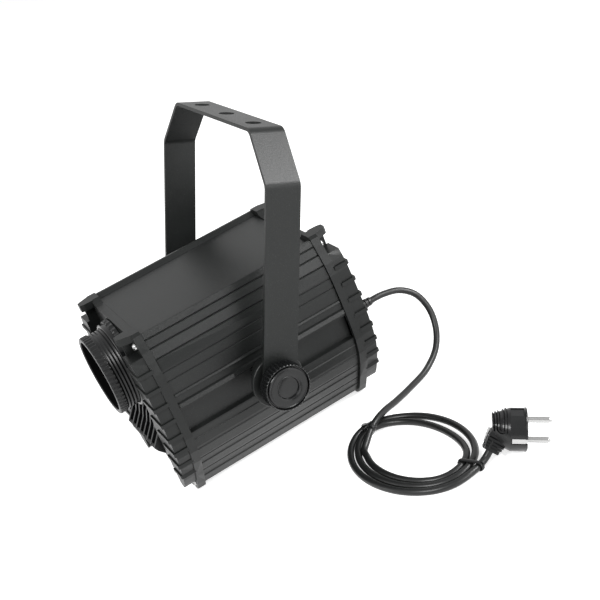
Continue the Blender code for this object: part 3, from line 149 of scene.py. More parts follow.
RUN_ROUTE = [
    (25.0, 148.0, 68.4),
    (27.0, 162.5, 64.6),
    (32.0, 173.5, 56.0),
    (40.0, 178.2, 41.5),
    (50.0, 174.5, 25.0),
    (59.5, 164.0, 12.5),
    (69.0, 145.5, 4.4),
    (81.5, 119.0, 4.4),
    (93.0, 96.0, 7.4),
    (101.5, 78.5, 10.6),
    (108.0, 67.0, 11.4),
    (114.0, 56.5, 9.6),
    (119.0, 49.0, 6.6),
]


def above_ground(x, y, height):
    """A place whose height is counted from the ground instead of from the pivot."""
    return Vector((x, y, GROUND + height))


print(f"{len(RUN_ROUTE)} points from the gland to the coil")

# %% [markdown]
# ## The coil
#
# The turns are a spiral on the ground, worked out from an ellipse that grows by one pitch a turn.
# Two things disturb it, and each fades out smoothly on both sides: towards the rear the turns lie
# further apart, and at the ties they are lifted by the thickness of the band under them. Angles
# round the coil are in degrees, except the lean of its ellipse, which only goes into sines.

# %% The spiral of the coil
COIL_CENTRE = (162.4, 67.7)
COIL_HALF_LENGTH, COIL_HALF_WIDTH = 60.6, 41.2
COIL_LEAN = math.radians(10.7)
COIL_PITCH = 6.7
COIL_START = 238.0
COIL_TURNS, COIL_MIDDLE_TURN = 2.36, 1.45
COIL_SPREAD, COIL_SPREAD_AT, COIL_SPREAD_REACH = 0.54, 100.0, 75.0
COIL_POINTS_PER_TURN = 24
TIE_ANGLES = (188.0, 22.0)
TIE_REACH, TIE_LIFT = 45.0, 1.6
GROUND_GAP = 0.2


def wave(angle, middle, reach):
    """One at the middle angle, falling smoothly to nothing at the reach on either side."""
    away = (angle - middle + 180) % 360 - 180
    return math.cos(TURN / 4 * away / reach) ** 2 if abs(away) < reach else 0.0


def coil_point(turns):
    """The middle of the cord after so many turns of the coil."""
    angle = COIL_START + 360 * turns
    spread = 1 + COIL_SPREAD * wave(angle, COIL_SPREAD_AT, COIL_SPREAD_REACH)
    out = COIL_PITCH * (turns - COIL_MIDDLE_TURN) * spread
    along = math.radians(angle) - COIL_LEAN
    u = (COIL_HALF_LENGTH + out) * math.cos(along)
    v = (COIL_HALF_WIDTH + out) * math.sin(along)
    x = COIL_CENTRE[0] + u * math.cos(COIL_LEAN) - v * math.sin(COIL_LEAN)
    y = COIL_CENTRE[1] + u * math.sin(COIL_LEAN) + v * math.cos(COIL_LEAN)
    lift = sum(wave(angle, tie, TIE_REACH) for tie in TIE_ANGLES)
    return above_ground(x, y, CORD_RADIUS + GROUND_GAP + TIE_LIFT * lift)


coil_count = round(COIL_TURNS * COIL_POINTS_PER_TURN)
coil_line = [coil_point(COIL_TURNS * i / coil_count) for i in range(coil_count + 1)]
print(f"the coil has {COIL_TURNS} turns and {len(coil_line)} points")

# %% [markdown]
# ## The plug's place
#
# The plug is tipped forward, so that it rests on the edge of its round face and on its neck, with
# the tip of one pin just off the ground. Its own frame has the pins along X, so a turn about the
# vertical and a pitch set how it lies. The cord has to end in its neck, which is why the plug's
# frame is worked out before the cord.

# %% The plug's frame and its neck
PLUG_PLACE = (232.4, 128.7)
PLUG_TURN, PLUG_PITCH = math.radians(56.1), math.radians(16.5)
PLUG_RADIUS, PLUG_DEPTH, PLUG_BACK_DEPTH = 17.5, 13.5, 14.5
NECK_ROOT_SHARE = 0.4
NECK_END = (224.4, 104.2, 10.4)

half_depth = PLUG_DEPTH / 2
plug_height = PLUG_RADIUS * math.cos(PLUG_PITCH) + half_depth * math.sin(PLUG_PITCH) + GROUND_GAP
PLUG_FRAME = (
    Matrix.Translation(above_ground(*PLUG_PLACE, plug_height))
    @ Matrix.Rotation(PLUG_TURN, 4, "Z")
    @ Matrix.Rotation(PLUG_PITCH, 4, "Y")
)
neck_root = PLUG_FRAME @ Vector((-(half_depth + NECK_ROOT_SHARE * PLUG_BACK_DEPTH), 0, 0))
neck_end = above_ground(*NECK_END)
neck_way = (neck_end - neck_root).normalized()
print("neck end in the plug's frame:", [round(c, 1) for c in PLUG_FRAME.inverted() @ neck_end])

# %% [markdown]
# ## Drawing a smooth line
#
# A Bezier curve with a round bevel is the natural way to make a cable: it stays one smooth line
# with a real length, and its thickness is a setting. Each handle follows the line through the
# points on both sides and reaches a third of the way to the next one, which keeps the curve even
# where the points are unevenly spaced.

# %% Bezier helper
def tangent(before, here, after):
    """The direction of a smooth line at a point, from the steps before and after it."""
    first, second = here - before, after - here
    return (first * second.length / first.length + second * first.length / second.length).normalized()


def bezier_spline(curve, points, first_way, last_way):
    """A spline through places in millimetres, with the directions of its two ends given."""
    spline = curve.splines.new("BEZIER")
    spline.bezier_points.add(len(points) - 1)
    ways = [first_way, *map(tangent, points, points[1:], points[2:]), last_way]
    gaps = [(after - before).length for before, after in zip(points, points[1:])]
    nears, fars = [gaps[0], *gaps], [*gaps, gaps[-1]]
    for knot, point, way, near, far in zip(spline.bezier_points, points, ways, nears, fars):
        here = TO_FRAME @ point
        knot.co, knot.radius = here, CORD_RADIUS * MM
        knot.handle_left_type = knot.handle_right_type = "FREE"
        knot.handle_left = here - way * near / 3 * MM
        knot.handle_right = here + way * far / 3 * MM
    return spline


# %% [markdown]
# ## Drawing the cord
#
# The whole cord is one curve: the bow, the coil and the rise into the neck, with a short straight
# lead at the gland, at the start of the coil and at the neck. The bevel is one unit thick and the
# radius of each point brings it to the cord's own, so the curve's box stays true.

# %% Make the cord
LEAD = 2 * CORD_RADIUS
LINE_RESOLUTION, BEVEL_RESOLUTION = 6, 5
run_line = [cord_start, cord_start + Vector((0, LEAD, 0)), *[above_ground(*point) for point in RUN_ROUTE]]
coil_way = (coil_line[1] - coil_line[0]).normalized()
tail_line = [neck_end + LEAD * neck_way, neck_end + GAP * neck_way]
cord_line = [*run_line, coil_line[0] - LEAD * coil_way, *coil_line, *tail_line]

cord_curve = bpy.data.curves.new("mains_cord", "CURVE")
cord_curve.dimensions = "3D"
cord_curve.resolution_u = LINE_RESOLUTION
cord_curve.bevel_depth, cord_curve.bevel_resolution = 1.0, BEVEL_RESOLUTION
cord_curve.use_fill_caps = True
cord_spline = bezier_spline(cord_curve, cord_line, Vector((0, 1, 0)), -neck_way)
mains_cord = bpy.data.objects.new("mains_cord", cord_curve)
bpy.context.scene.collection.objects.link(mains_cord)
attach(mains_cord, "housing")
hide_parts("cord_run", "cord_coil", "cord_tail")
cord_length = cord_spline.calc_length()
print(f"cord {1000 * cord_length:.0f} mm long, {len(cord_line)} points")

# %% [markdown]
# ## Writing a finish as a sum
#
# A finish is a small network of nodes, and a network is easier to read as arithmetic. The class
# below wraps one socket and lets it be added, multiplied or raised to a power, each of which adds
# its Math node. A second class holds one material: its fixed values go straight onto the shader,
# and any other node comes from its one method, which takes the node's type, its settings and what
# feeds its sockets.

# %% Wires and finishes
class Wire:
    """A socket that can stand in a sum: every operator adds the Math node it names."""

    def __init__(self, finish, socket):
        self.finish, self.socket = finish, socket

    def maths(self, operation, other):
        return self.finish.node("Math", {"operation": operation}, self, other)

    def __add__(self, other):
        return self.maths("ADD", other)

    def __mul__(self, other):
        return self.maths("MULTIPLY", other)

    def __pow__(self, other):
        return self.maths("POWER", other)

    __radd__, __rmul__ = __add__, __mul__


class Finish:
    """One material, with its fixed values on the shader's own sockets."""

    def __init__(self, name, **fixed):
        self.name = name
        self.material = bpy.data.materials.new(name)
        self.material.use_nodes = True
        self.tree = self.material.node_tree
        self.shader = self.tree.nodes["Principled BSDF"]
        self.feed(**fixed)
        self.place = self.node("TexCoord", out="Object")

    def connect(self, socket, value):
        if isinstance(value, Wire):
            self.tree.links.new(value.socket, socket)
        else:
            socket.default_value = value

    def feed(self, **sockets):
        for socket, value in sockets.items():
            self.connect(self.shader.inputs[socket.replace("_", " ")], value)
        return self

    def node(self, kind, settings=None, *values, out=0, **named):
        made = self.tree.nodes.new(f"ShaderNode{kind}")
        settings = dict(settings or {})
        stops = settings.pop("stops", None)
        for setting, value in settings.items():
            setattr(made, setting, value)
        if stops:
            ramp = made.color_ramp.elements
            for element, (position, grey) in zip(ramp, stops):
                element.position, element.color = position, (grey, grey, grey, 1)
        for i, value in enumerate(values):
            self.connect(made.inputs[i], value)
        for socket, value in named.items():
            self.connect(made.inputs[socket.replace("_", " ")], value)
        return Wire(self, made.outputs[out])

    def noise(self, scale, detail, place=None, roughness=0.5):
        """Smooth noise whose blobs are about one over scale metres wide."""
        place = place or self.place
        return self.node("TexNoise", None, Vector=place, Scale=scale, Detail=detail, Roughness=roughness)

    def stretched(self, x, y, z):
        """The place on the surface, with each direction stretched by its own factor."""
        return self.node("VectorMath", {"operation": "MULTIPLY"}, self.place, (x, y, z))

    def blend(self, amount, first, second):
        """The first colour where amount is nothing and the second where it is one."""
        made = self.tree.nodes.new("ShaderNodeMix")
        made.data_type = "RGBA"
        # A Mix node has sockets for numbers and vectors too, so its two colours are inputs 6 and 7.
        for i, value in ((0, amount), (6, first), (7, second)):
            if isinstance(value, tuple):
                value = (*value, 1.0)
            self.connect(made.inputs[i], value)
        return Wire(self, made.outputs[2])

    def bump(self, height, strength, depth_mm):
        normal = self.node("Bump", None, Height=height, Strength=strength, Distance=depth_mm * MM)
        return self.feed(Normal=normal)


# %% [markdown]
# ## Powder coat
#
# The shells, the covers and the yoke are sprayed with black powder that melts into a satin skin
# with a fine, sandy grain. Three scales of noise make it: broad clouds that shift the gloss a
# little, as film thickness does, a grain of about a millimetre that the light picks out, and a few
# pale specks. The base is nearly black, since most of the grey in the picture is reflected light.

# %% Powder coat
powder = Finish("powder_coat", Specular_IOR_Level=0.23)
clouds = powder.noise(14, 3)
grain = powder.noise(820, 2, roughness=0.65)
specks = powder.node("ValToRGB", {"stops": [(0.66, 0), (0.74, 1)]}, powder.noise(1500, 1))
coat_colour = powder.blend(clouds, (0.0060, 0.0067, 0.0065), (0.0110, 0.0120, 0.0117))
powder.feed(
    Base_Color=powder.blend(specks * 0.4, coat_colour, (0.05, 0.052, 0.051)),
    Roughness=0.26 + 0.10 * clouds + 0.14 * grain,
)
powder.bump(grain, strength=0.75, depth_mm=0.14)
print(f"{powder.name}: {len(powder.tree.nodes)} nodes")

# %% [markdown]
# ## Cast and moulded blacks
#
# The end caps are castings with a smoother, glossier paint. The knobs, the gland and the plug are
# moulded plastic with the fine grain of a spark-eroded mould, the cord and its sleeve are soft PVC,
# and the inside of the tube is a flat black that throws almost no light, partly its own matte paint
# and partly painted shade for its deep bore. They share one recipe, a grain in the bump and clouds
# that move the roughness and the colour, so one function makes them all.

# %% Cast paint, plastic, rubber and the tube's painted shade
def grained_black(name, dark, light, grain_scale, depth_mm, gloss, spread, **fixed):
    """A black finish whose roughness starts at gloss and rises with its clouds and its grain."""
    finish = Finish(name, **fixed)
    broad = finish.noise(30, 3)
    fine = finish.noise(grain_scale, 2, roughness=0.6)
    finish.feed(
        Base_Color=finish.blend(broad, dark, light),
        Roughness=gloss + spread * broad + spread * fine,
    )
    return finish.bump(fine, strength=0.4, depth_mm=depth_mm)


cast = grained_black(
    "cast_black",
    dark=(0.0055, 0.0061, 0.0059),
    light=(0.0095, 0.0104, 0.0101),
    grain_scale=800,
    depth_mm=0.07,
    gloss=0.26,
    spread=0.12,
    Specular_IOR_Level=0.21,
)
plastic = grained_black(
    "black_plastic",
    dark=(0.0028, 0.0031, 0.0033),
    light=(0.006, 0.0064, 0.0066),
    grain_scale=1700,
    depth_mm=0.04,
    gloss=0.16,
    spread=0.08,
    Specular_IOR_Level=0.30,
)
rubber = grained_black(
    "black_rubber",
    dark=(0.0045, 0.0049, 0.0048),
    light=(0.0090, 0.0096, 0.0095),
    grain_scale=900,
    depth_mm=0.03,
    gloss=0.25,
    spread=0.10,
    Specular_IOR_Level=0.34,
)
# The inside of the tube: the flat black of a real tube, painted darker still and nearly without gloss as
# painted shade for its deep bore.
inside_shade = grained_black(
    "inside_painted_shade",
    dark=(0.001, 0.001, 0.001),
    light=(0.002, 0.002, 0.002),
    grain_scale=1200,
    depth_mm=0.05,
    gloss=0.8,
    spread=0.1,
    Specular_IOR_Level=0.04,
)
print("four blacks:", ", ".join(finish.name for finish in (cast, plastic, rubber, inside_shade)))

# %% [markdown]
# ## Machined black
#
# The lens tube and its rings are turned on a lathe and dyed black, so their gloss runs in fine
# lines round the axis. Such a line is the same all the way round, so the noise is read at a place
# made of only two numbers: the distance from the lens's axis and the place along it.

# %% Machined black
LENS_HEIGHT = 30.0
LINES_PER_METRE = 2600
lens_axis = in_frame(0, 0, LENS_HEIGHT)
machined = Finish("black_metal", Specular_IOR_Level=0.28)
from_axis = machined.node("VectorMath", {"operation": "SUBTRACT"}, machined.place, tuple(lens_axis))
x_out, along, z_out = (machined.node("SeparateXYZ", None, from_axis, out=way) for way in "XYZ")
reach = (x_out * x_out + z_out * z_out) ** 0.5
turned_place = machined.node("CombineXYZ", None, reach * LINES_PER_METRE, along * LINES_PER_METRE, 0.0)
lines = machined.noise(1, 2, turned_place)
dust = machined.noise(60, 3)
machined.feed(
    Base_Color=machined.blend(dust, (0.003, 0.0032, 0.0034), (0.006, 0.0063, 0.0066)),
    Roughness=0.22 + 0.16 * lines + 0.08 * dust,
)
machined.bump(lines, strength=0.25, depth_mm=0.03)
print(f"{machined.name}: lines {1000 / LINES_PER_METRE:.2f} mm apart")

# %% [markdown]
# ## Bright metals
#
# The screws, washers, studs and plug pins are nickel-plated steel, which is nearly mirror-smooth
# with faint polishing lines. The heat sink and the chassis are bare extruded aluminium, whose lines
# run along the die. Noise that is stretched in one direction more than the others gives both.

# %% Steel and aluminium
steel = Finish("bright_steel", Metallic=1.0)
polish = steel.noise(1, 3, steel.stretched(300, 2200, 900))
steel.feed(
    Base_Color=steel.blend(polish, (0.30, 0.30, 0.30), (0.46, 0.46, 0.455)),
    Roughness=0.14 + 0.16 * polish,
)
steel.bump(polish, strength=0.12, depth_mm=0.02)

aluminium = Finish("bare_aluminium", Metallic=1.0)
die_lines = aluminium.noise(1, 3, aluminium.stretched(1800, 25, 1800))
aluminium.feed(
    Base_Color=aluminium.blend(die_lines, (0.62, 0.63, 0.64), (0.76, 0.77, 0.78)),
    Roughness=0.28 + 0.2 * die_lines,
)
aluminium.bump(die_lines, strength=0.2, depth_mm=0.03)
print(f"two metals: {steel.name}, {aluminium.name}")

# %% [markdown]
# ## Glass, board and emitter
#
# Glass is the one finish here that lets light through, so it is mostly a fixed index of refraction,
# with faint smears in its roughness. The board's white mask and the yellow emitter lie deep inside
# and only show down the lens tube. The emitter's cells are the many small dies under its resin.

# %% Glass, board and emitter
glass = Finish("lens_glass", Transmission_Weight=1.0, IOR=1.52)
smear = glass.noise(45, 3)
glass.feed(
    Base_Color=glass.blend(smear, (0.95, 0.97, 0.96), (0.98, 0.99, 0.985)),
    Roughness=0.01 + 0.03 * smear,
)

board = Finish("board_white")
mask = board.noise(400, 2)
board.feed(
    Base_Color=board.blend(mask, (0.74, 0.74, 0.72), (0.82, 0.82, 0.80)),
    Roughness=0.35 + 0.15 * mask,
)
board.bump(mask, strength=0.2, depth_mm=0.03)

emitter = Finish("emitter_yellow")
dies = emitter.node("TexVoronoi", None, Vector=emitter.place, Scale=700.0, out="Distance")
emitter.feed(
    Base_Color=emitter.blend(dies, (0.86, 0.66, 0.10), (0.92, 0.80, 0.28)),
    Roughness=0.3 + 0.2 * dies,
)
emitter.bump(dies, strength=0.4, depth_mm=0.1)
print(f"three more: {glass.name}, {board.name}, {emitter.name}")

# %% [markdown]
# ## Dressing the solids
#
# Where a solid already has the right shape, it stays and only gets its finish. The record names the
# finish of every solid, so one loop dresses them all. A weld closes the seams that shading left in
# the imported mesh, and a bevel of less than a millimetre then rounds the edges, because a real edge
# is never perfectly sharp and it is the edge that catches the light.

# %% Dress every solid
SHARP_ANGLE = math.radians(34)
EDGE_WIDTHS = {"powder_coat": 0.35, "cast_black": 0.85, "bright_steel": 0.2, "board_white": 0.2}
OTHER_EDGES = 0.25
BEVEL_SEGMENTS = 2
WELD_REACH = 2e-6


def soften(obj, width, weld=False):
    """Rounds the sharp edges of a piece by a width in millimetres, and shades it smoothly."""
    if weld:
        obj.modifiers.new("Weld", "WELD").merge_threshold = WELD_REACH
    bevel = obj.modifiers.new("Bevel", "BEVEL")
    bevel.width, bevel.segments = width * MM, BEVEL_SEGMENTS
    bevel.limit_method, bevel.angle_limit = "ANGLE", SHARP_ANGLE
    bevel.harden_normals = True
    bevel.use_clamp_overlap = True


solid_finishes = (powder, cast, machined, plastic, rubber, steel, aluminium, glass, board, emitter)
finish_of_slot = {finish.name: finish for finish in solid_finishes}
slot_of = {entry["node"]: entry["material_slot"] for entry in frame["record"]["subparts"]}
for name, node in nodes.items():
    slot_name = slot_of[name]
    node.data.materials.clear()
    node.data.materials.append(finish_of_slot[slot_name].material)
    soften(node, EDGE_WIDTHS.get(slot_name, OTHER_EDGES), weld=True)
mains_cord.data.materials.append(rubber.material)
print(f"{len(nodes)} solids dressed in {len(set(slot_of.values()))} finishes")

# %% [markdown]
# ## Turning a piece
#
# Most pieces of a lamp are turned on a lathe, so one helper makes nearly all of them. A turned piece
# is a list of (radius, place along the axis); a third number is the depth of flutes round it, which
# turns the same helper into a knurling tool. A radius of nothing closes the shape in one point.

# %% Lathe helper
STEPS_PER_FLUTE = 8
AXIS_TURNS = {
    "X": Matrix.Rotation(TURN / 4, 4, "Y"),
    "Y": Matrix.Rotation(-TURN / 4, 4, "X"),
    "Z": Matrix.Identity(4),
}


def turned(profile, start, axis="Y", sides=96, flutes=0, closed=False):
    """A profile of (radius, distance along the axis, depth of its flutes) swept round the axis."""
    shape = bmesh.new()
    sides = STEPS_PER_FLUTE * flutes or sides
    rings = []
    for radius, along, *depth in profile:
        depth = depth[0] if depth else 0.0
        ring = []
        for k in range(sides if radius else 1):
            angle = TURN * k / sides
            reach = radius - depth * (0.5 - 0.5 * math.cos(flutes * angle))
            ring.append(shape.verts.new((reach * math.cos(angle), reach * math.sin(angle), along)))
        rings.append(ring)
    pairs = list(zip(rings, rings[1:]))
    if closed:
        pairs.append((rings[-1], rings[0]))
    for near, far in pairs:
        for k in range(sides):
            j = (k + 1) % sides
            corners = (near[k % len(near)], near[j % len(near)], far[j % len(far)], far[k % len(far)])
            corners = list(dict.fromkeys(corners))
            if len(corners) > 2:
                shape.faces.new(corners)
    bmesh.ops.transform(shape, matrix=Matrix.Translation(start) @ AXIS_TURNS[axis], verts=shape.verts)
    bmesh.ops.recalc_face_normals(shape, faces=shape.faces)
    return shape


# %% [markdown]
# ## Finishing a piece
#
# The helpers give bare mesh geometry. One last helper carries it into the frame, shades it, gives
# its edges a small bevel and links it.

# %% Finishing helpers
def moved(shape, matrix):
    """A shape carried by a matrix, with its faces turned round again where the matrix mirrors it."""
    bmesh.ops.transform(shape, matrix=matrix, verts=shape.verts)
    if matrix.determinant() < 0:
        bmesh.ops.reverse_faces(shape, faces=shape.faces)
    return shape


def piece(name, shape, body, finish, stands_for=(), edge=0.0):
    """A finished piece on its body, in the material of its finish."""
    mesh = bpy.data.meshes.new(name)
    moved(shape, TO_FRAME)
    shape.to_mesh(mesh)
    shape.free()
    mesh.shade_smooth()
    mesh.set_sharp_from_angle(angle=SHARP_ANGLE)
    mesh.materials.append(finish.material)
    obj = bpy.data.objects.new(name, mesh)
    bpy.context.scene.collection.objects.link(obj)
    if edge:
        soften(obj, edge)
    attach(obj, body)
    if stands_for:
        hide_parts(*stands_for)
    print(f"{name}: {len(mesh.polygons)} faces on {body}")
    return obj


# %% [markdown]
# ## The sleeve where the cord leaves
#
# A soft sleeve keeps the cord from kinking at the gland. It starts as a collar behind the gland's
# nut and tapers to little more than the cord, with a flexing groove every few millimetres, so it is
# a turned piece whose profile steps down in equal lengths.

# %% Strain relief
RELIEF_LENGTH, RELIEF_RADIUS, RELIEF_END_RADIUS = 21.0, 5.4, 3.9
COLLAR_RADIUS, COLLAR_THICKNESS, COLLAR_EDGE = 7.2, 2.4, 0.4
GROOVES, FIRST_GROOVE, GROOVE_WIDTH, GROOVE_DEPTH = 5, 3.0, 0.7, 0.8
GROOVE_EDGE = 0.3

relief_reach = relief_high.y - relief_low.y
collar = relief_reach - RELIEF_LENGTH
groove_pitch = (RELIEF_LENGTH - FIRST_GROOVE - COLLAR_EDGE) / GROOVES
profile = [
    (0, 0),
    (RELIEF_END_RADIUS, 0),
    (RELIEF_END_RADIUS, collar),
    (COLLAR_RADIUS - COLLAR_EDGE, collar),
    (COLLAR_RADIUS, collar + COLLAR_EDGE),
    (COLLAR_RADIUS, collar + COLLAR_THICKNESS - COLLAR_EDGE),
    (COLLAR_RADIUS - COLLAR_EDGE, collar + COLLAR_THICKNESS),
]
for i in range(GROOVES):
    place = collar + FIRST_GROOVE + i * groove_pitch
    radius = RELIEF_RADIUS + (RELIEF_END_RADIUS - RELIEF_RADIUS) * (i + 0.5) / GROOVES
    profile += [
        (radius - GROOVE_DEPTH, place),
        (radius - GROOVE_DEPTH, place + GROOVE_WIDTH),
        (radius, place + GROOVE_WIDTH + GROOVE_EDGE),
        (radius - GROOVE_EDGE / 2, place + groove_pitch - GROOVE_EDGE),
    ]
profile += [(RELIEF_END_RADIUS - COLLAR_EDGE, relief_reach), (0, relief_reach)]
shape = turned(profile, (gland_axis[0], relief_low.y, gland_axis[1]), sides=48)
piece("relief_sleeve", shape, "housing", rubber, ["strain_relief"])

# %% [markdown]
# ## The clamp knobs
#
# Each side has a round knob that clamps the yoke. Forty straight flutes run round its grip, and they
# die out towards both ends, which leaves a beaded rim. A narrow groove parts the grip from the round
# face, and a thin raised ring on the face goes round a shallow dish. The left knob is the right one
# mirrored. The profile is given from the middle of the face outwards, and then back to the bore.

# %% Tilt knobs
KNOB_FLUTES = 40
STUD_BORE, STUD_BORE_DEPTH = 4.3, 9.0
SIDES = {"right": Matrix.Identity(4), "left": Matrix.Diagonal((-1, 1, 1, 1))}
knob_low, knob_high = box_from_pivot("tilt_knob_right")
depth = knob_high.x - knob_low.x
profile = [
    (0, depth - 2.6),
    (4.5, depth - 2.5),
    (7.6, depth - 2.15),
    (8.8, depth - 1.8),
    (9.2, depth - 0.9),
    (9.5, depth - 0.25),
    (10.0, depth - 0.1),
    (10.4, depth - 0.35),
    (15.6, depth - 0.45),
    (16.0, depth - 0.2),
    (16.4, depth),
    (16.9, depth - 0.1),
    (17.2, depth - 0.5),
    (17.3, depth - 2.6),
    (18.1, depth - 2.6),
    (18.3, depth - 0.9),
    (18.7, depth - 0.4),
    (19.2, depth - 0.4, 0.1),
    (19.7, depth - 0.8, 0.5),
    (20.0, depth - 1.8, 1.3),
    (20.0, 2.2, 1.3),
    (19.6, 0.8, 0.6),
    (19.0, 0.1, 0.1),
    (18.4, 0),
    (STUD_BORE, 0),
    (STUD_BORE, STUD_BORE_DEPTH),
    (0, STUD_BORE_DEPTH),
]
for side, turn in SIDES.items():
    shape = turned(profile, (knob_low.x, 0, 0), "X", flutes=KNOB_FLUTES)
    piece(f"knob_grip_{side}", moved(shape, turn), f"knob_{side}", plastic, [f"tilt_knob_{side}"])

# %% [markdown]
# ## The focus tube
#
# The lens sits deep in a tube that screws in and out of its mount. Its rim has 54 fine flutes for
# the fingers and behind them the ridges of a coarse thread. The inside gets the darker black of
# painted shade, face by face: a face belongs to the inside when it lies no further from the axis
# than the bore, behind the rim.

# %% Focus tube
TUBE_FLUTES = 54
THREAD_RIDGES, THREAD_START, THREAD_PITCH = 6, 8.3, 3.0
RIDGE = ((35.2, 2.7), (35.6, 2.1), (35.8, 1.5), (35.6, 0.9), (35.2, 0.3))
TUBE_BORE, RIM_DEPTH, BORE_TOLERANCE = 32.5, 1.0, 0.3
tube_low, tube_high = box_from_pivot("focus_tube")
tube_length = tube_high.y - tube_low.y
profile = [(31.4, tube_length), (34.8, tube_length)]
for i in reversed(range(THREAD_RIDGES)):
    profile += [(radius, THREAD_START + i * THREAD_PITCH + step) for radius, step in RIDGE]
profile += [
    (35.6, 7.5),
    (36.3, 7.2, 0.1),
    (36.6, 6.5, 0.75),
    (36.6, 1.4, 0.75),
    (36.3, 0.6, 0.35),
    (35.6, 0.1),
    (35.0, 0),
    (33.1, 0),
    (32.6, 0.4),
    (TUBE_BORE, RIM_DEPTH),
    (TUBE_BORE, 26.0),
    (28.5, 26.0),
    (28.5, 29.0),
    (31.4, 29.0),
]
shape = turned(profile, (0, tube_low.y, LENS_HEIGHT), flutes=TUBE_FLUTES, closed=True)
tube = piece("lens_tube", shape, "focus_ring", machined, ["focus_tube"])
tube.data.materials.append(inside_shade.material)
# Faces inside the bore take the second slot, the black that paints in the bore's shade.
blackened = 0
for polygon in tube.data.polygons:
    out = polygon.center - lens_axis
    behind_rim = out.y > (tube_low.y + RIM_DEPTH) * MM
    if behind_rim and math.hypot(out.x, out.z) < (TUBE_BORE + BORE_TOLERANCE) * MM:
        polygon.material_index = 1
        blackened += 1
print(f"{blackened} faces of the tube are blackened")

# %% [markdown]
# ## The lens mount
#
# The mount is the ring that the tube screws into, with scallops round its flange. It is a casting,
# but in the picture it is as dark and as glossy as the knobs, so it takes the plastic's finish.

# %% Lens mount
MOUNT_SCALLOPS = 36
mount_low, mount_high = box_from_pivot("lens_mount")
mount_length = mount_high.y - mount_low.y
profile = [
    (38.4, mount_length),
    (38.4, 9.4),
    (40.0, 9.4),
    (40.6, 8.8, 0.5),
    (40.6, 5.4, 1.3),
    (40.2, 4.8, 1.3),
    (39.6, 4.4, 0.6),
    (38.8, 4.3),
    (38.8, 0.8),
    (38.2, 0.15),
    (37.6, 0),
    (36.7, 0),
    (36.3, 0.4),
    (36.3, mount_length),
]
shape = turned(profile, (0, mount_low.y, LENS_HEIGHT), flutes=MOUNT_SCALLOPS, closed=True)
piece("mount_ring", shape, "housing", plastic, ["lens_mount"])

# %% [markdown]
# ## The front lens
#
# The front lens is flat on its inner side and bulges outwards, with a narrow flat rim where it is
# held. A bulge only looks right with many rings, so it is turned again at a finer step than the
# solid has. A parabola is close enough to a ball's cap at this size.

# %% Front lens
LENS_BULGE, LENS_RINGS, LENS_FLAT_RIM = 7.0, 20, 2.4
lens_low, lens_high = box_from_pivot("front_lens")
thickness = lens_high.y - lens_low.y
profile = [(0, thickness), (lens_high.x, thickness), (lens_high.x, LENS_BULGE)]
for k in range(LENS_RINGS + 1):
    share = 1 - k / LENS_RINGS
    profile.append(((lens_high.x - LENS_FLAT_RIM) * share, LENS_BULGE * share**2))
shape = turned(profile, (0, lens_low.y, LENS_HEIGHT))
piece("lens_front_glass", shape, "lens_group", glass, ["front_lens"])

# %% [markdown]
# ## Cutting a shape
#
# A slot in a screw head or a hole through the yoke is a cut with another shape, so a Boolean does
# it, on scratch objects that are gone again afterwards. The exact solver is slower than the fast one,
# but it copes with faces that touch, and here each cut is made only once.

# %% Block and Boolean helpers
def block(low, high):
    """A box between two corners."""
    shape = bmesh.new()
    size = [b - a for a, b in zip(low, high)]
    middle = [(a + b) / 2 for a, b in zip(low, high)]
    bmesh.ops.create_cube(shape, size=1, matrix=Matrix.Translation(middle) @ Matrix.Diagonal((*size, 1)))
    return shape


def scratch(shape):
    """A throwaway object that holds a shape for a Boolean."""
    mesh = bpy.data.meshes.new("scratch")
    shape.to_mesh(mesh)
    shape.free()
    obj = bpy.data.objects.new("scratch", mesh)
    bpy.context.scene.collection.objects.link(obj)
    return obj


def combined(first, second, operation="DIFFERENCE"):
    """The exact difference or intersection of two shapes."""
    target, other = scratch(first), scratch(second)
    boolean = target.modifiers.new("Boolean", "BOOLEAN")
    boolean.operation, boolean.solver, boolean.object = operation, "EXACT", other
    bpy.context.view_layer.update()
    result = target.evaluated_get(bpy.context.evaluated_depsgraph_get()).to_mesh()
    shape = bmesh.new()
    shape.from_mesh(result)
    for obj in (target, other):
        bpy.data.objects.remove(obj)
    return shape


# %% [markdown]
# ## Screws
#
# Four bright pan-head screws hold each cap. A pan head is a low dome with a nearly upright side, and
# its slot is a cut straight across. The heads are all alike, so one function turns a screw and the
# rear ones are the same shape, mirrored.

# %% Cap screws
HEAD_PROFILE = [(0, 0), (1.4, 0.06), (2.4, 0.32), (3.1, 0.85), (3.5, 1.6), (3.6, 2.6)]
HEAD_HEIGHT, SHANK_RADIUS = HEAD_PROFILE[-1][1], 1.9
SLOT_REACH, SLOT_HALF_WIDTH, SLOT_DEPTH = 4.0, 0.55, 1.1
BACK_TO_FRONT = Matrix.Diagonal((1, -1, 1, 1))


def screw(x, z, tip, reach):
    """A screw whose head starts at tip and whose shank points along +Y."""
    shank = [(SHANK_RADIUS, HEAD_HEIGHT), (SHANK_RADIUS, reach), (0, reach)]
    shape = turned(HEAD_PROFILE + shank, (x, tip, z), sides=32)
    slot_low = (x - SLOT_REACH, tip - 1, z - SLOT_HALF_WIDTH)
    slot_high = (x + SLOT_REACH, tip + SLOT_DEPTH, z + SLOT_HALF_WIDTH)
    return combined(shape, block(slot_low, slot_high))


for end in ("front", "rear"):
    for i in range(1, 5):
        low, high = box_from_pivot(f"{end}_screw_{i}")
        x, z, reach = (low.x + high.x) / 2, (low.z + high.z) / 2, high.y - low.y
        if end == "front":
            shape = screw(x, z, low.y, reach)
        else:
            shape = moved(screw(x, z, -high.y, reach), BACK_TO_FRONT)
        piece(f"{end}_cap_screw_{i}", shape, "housing", steel, [f"{end}_screw_{i}"], edge=0.12)

# %% [markdown]
# ## Flat outlines
#
# What isn't turned is mostly cut from a flat outline and given thickness. The outline is drawn flat
# on the ground, raised along Z and then stood up by a matrix that turns it without mirroring it.
# Several shapes can be held in one mesh, which lets one Boolean make many cuts.

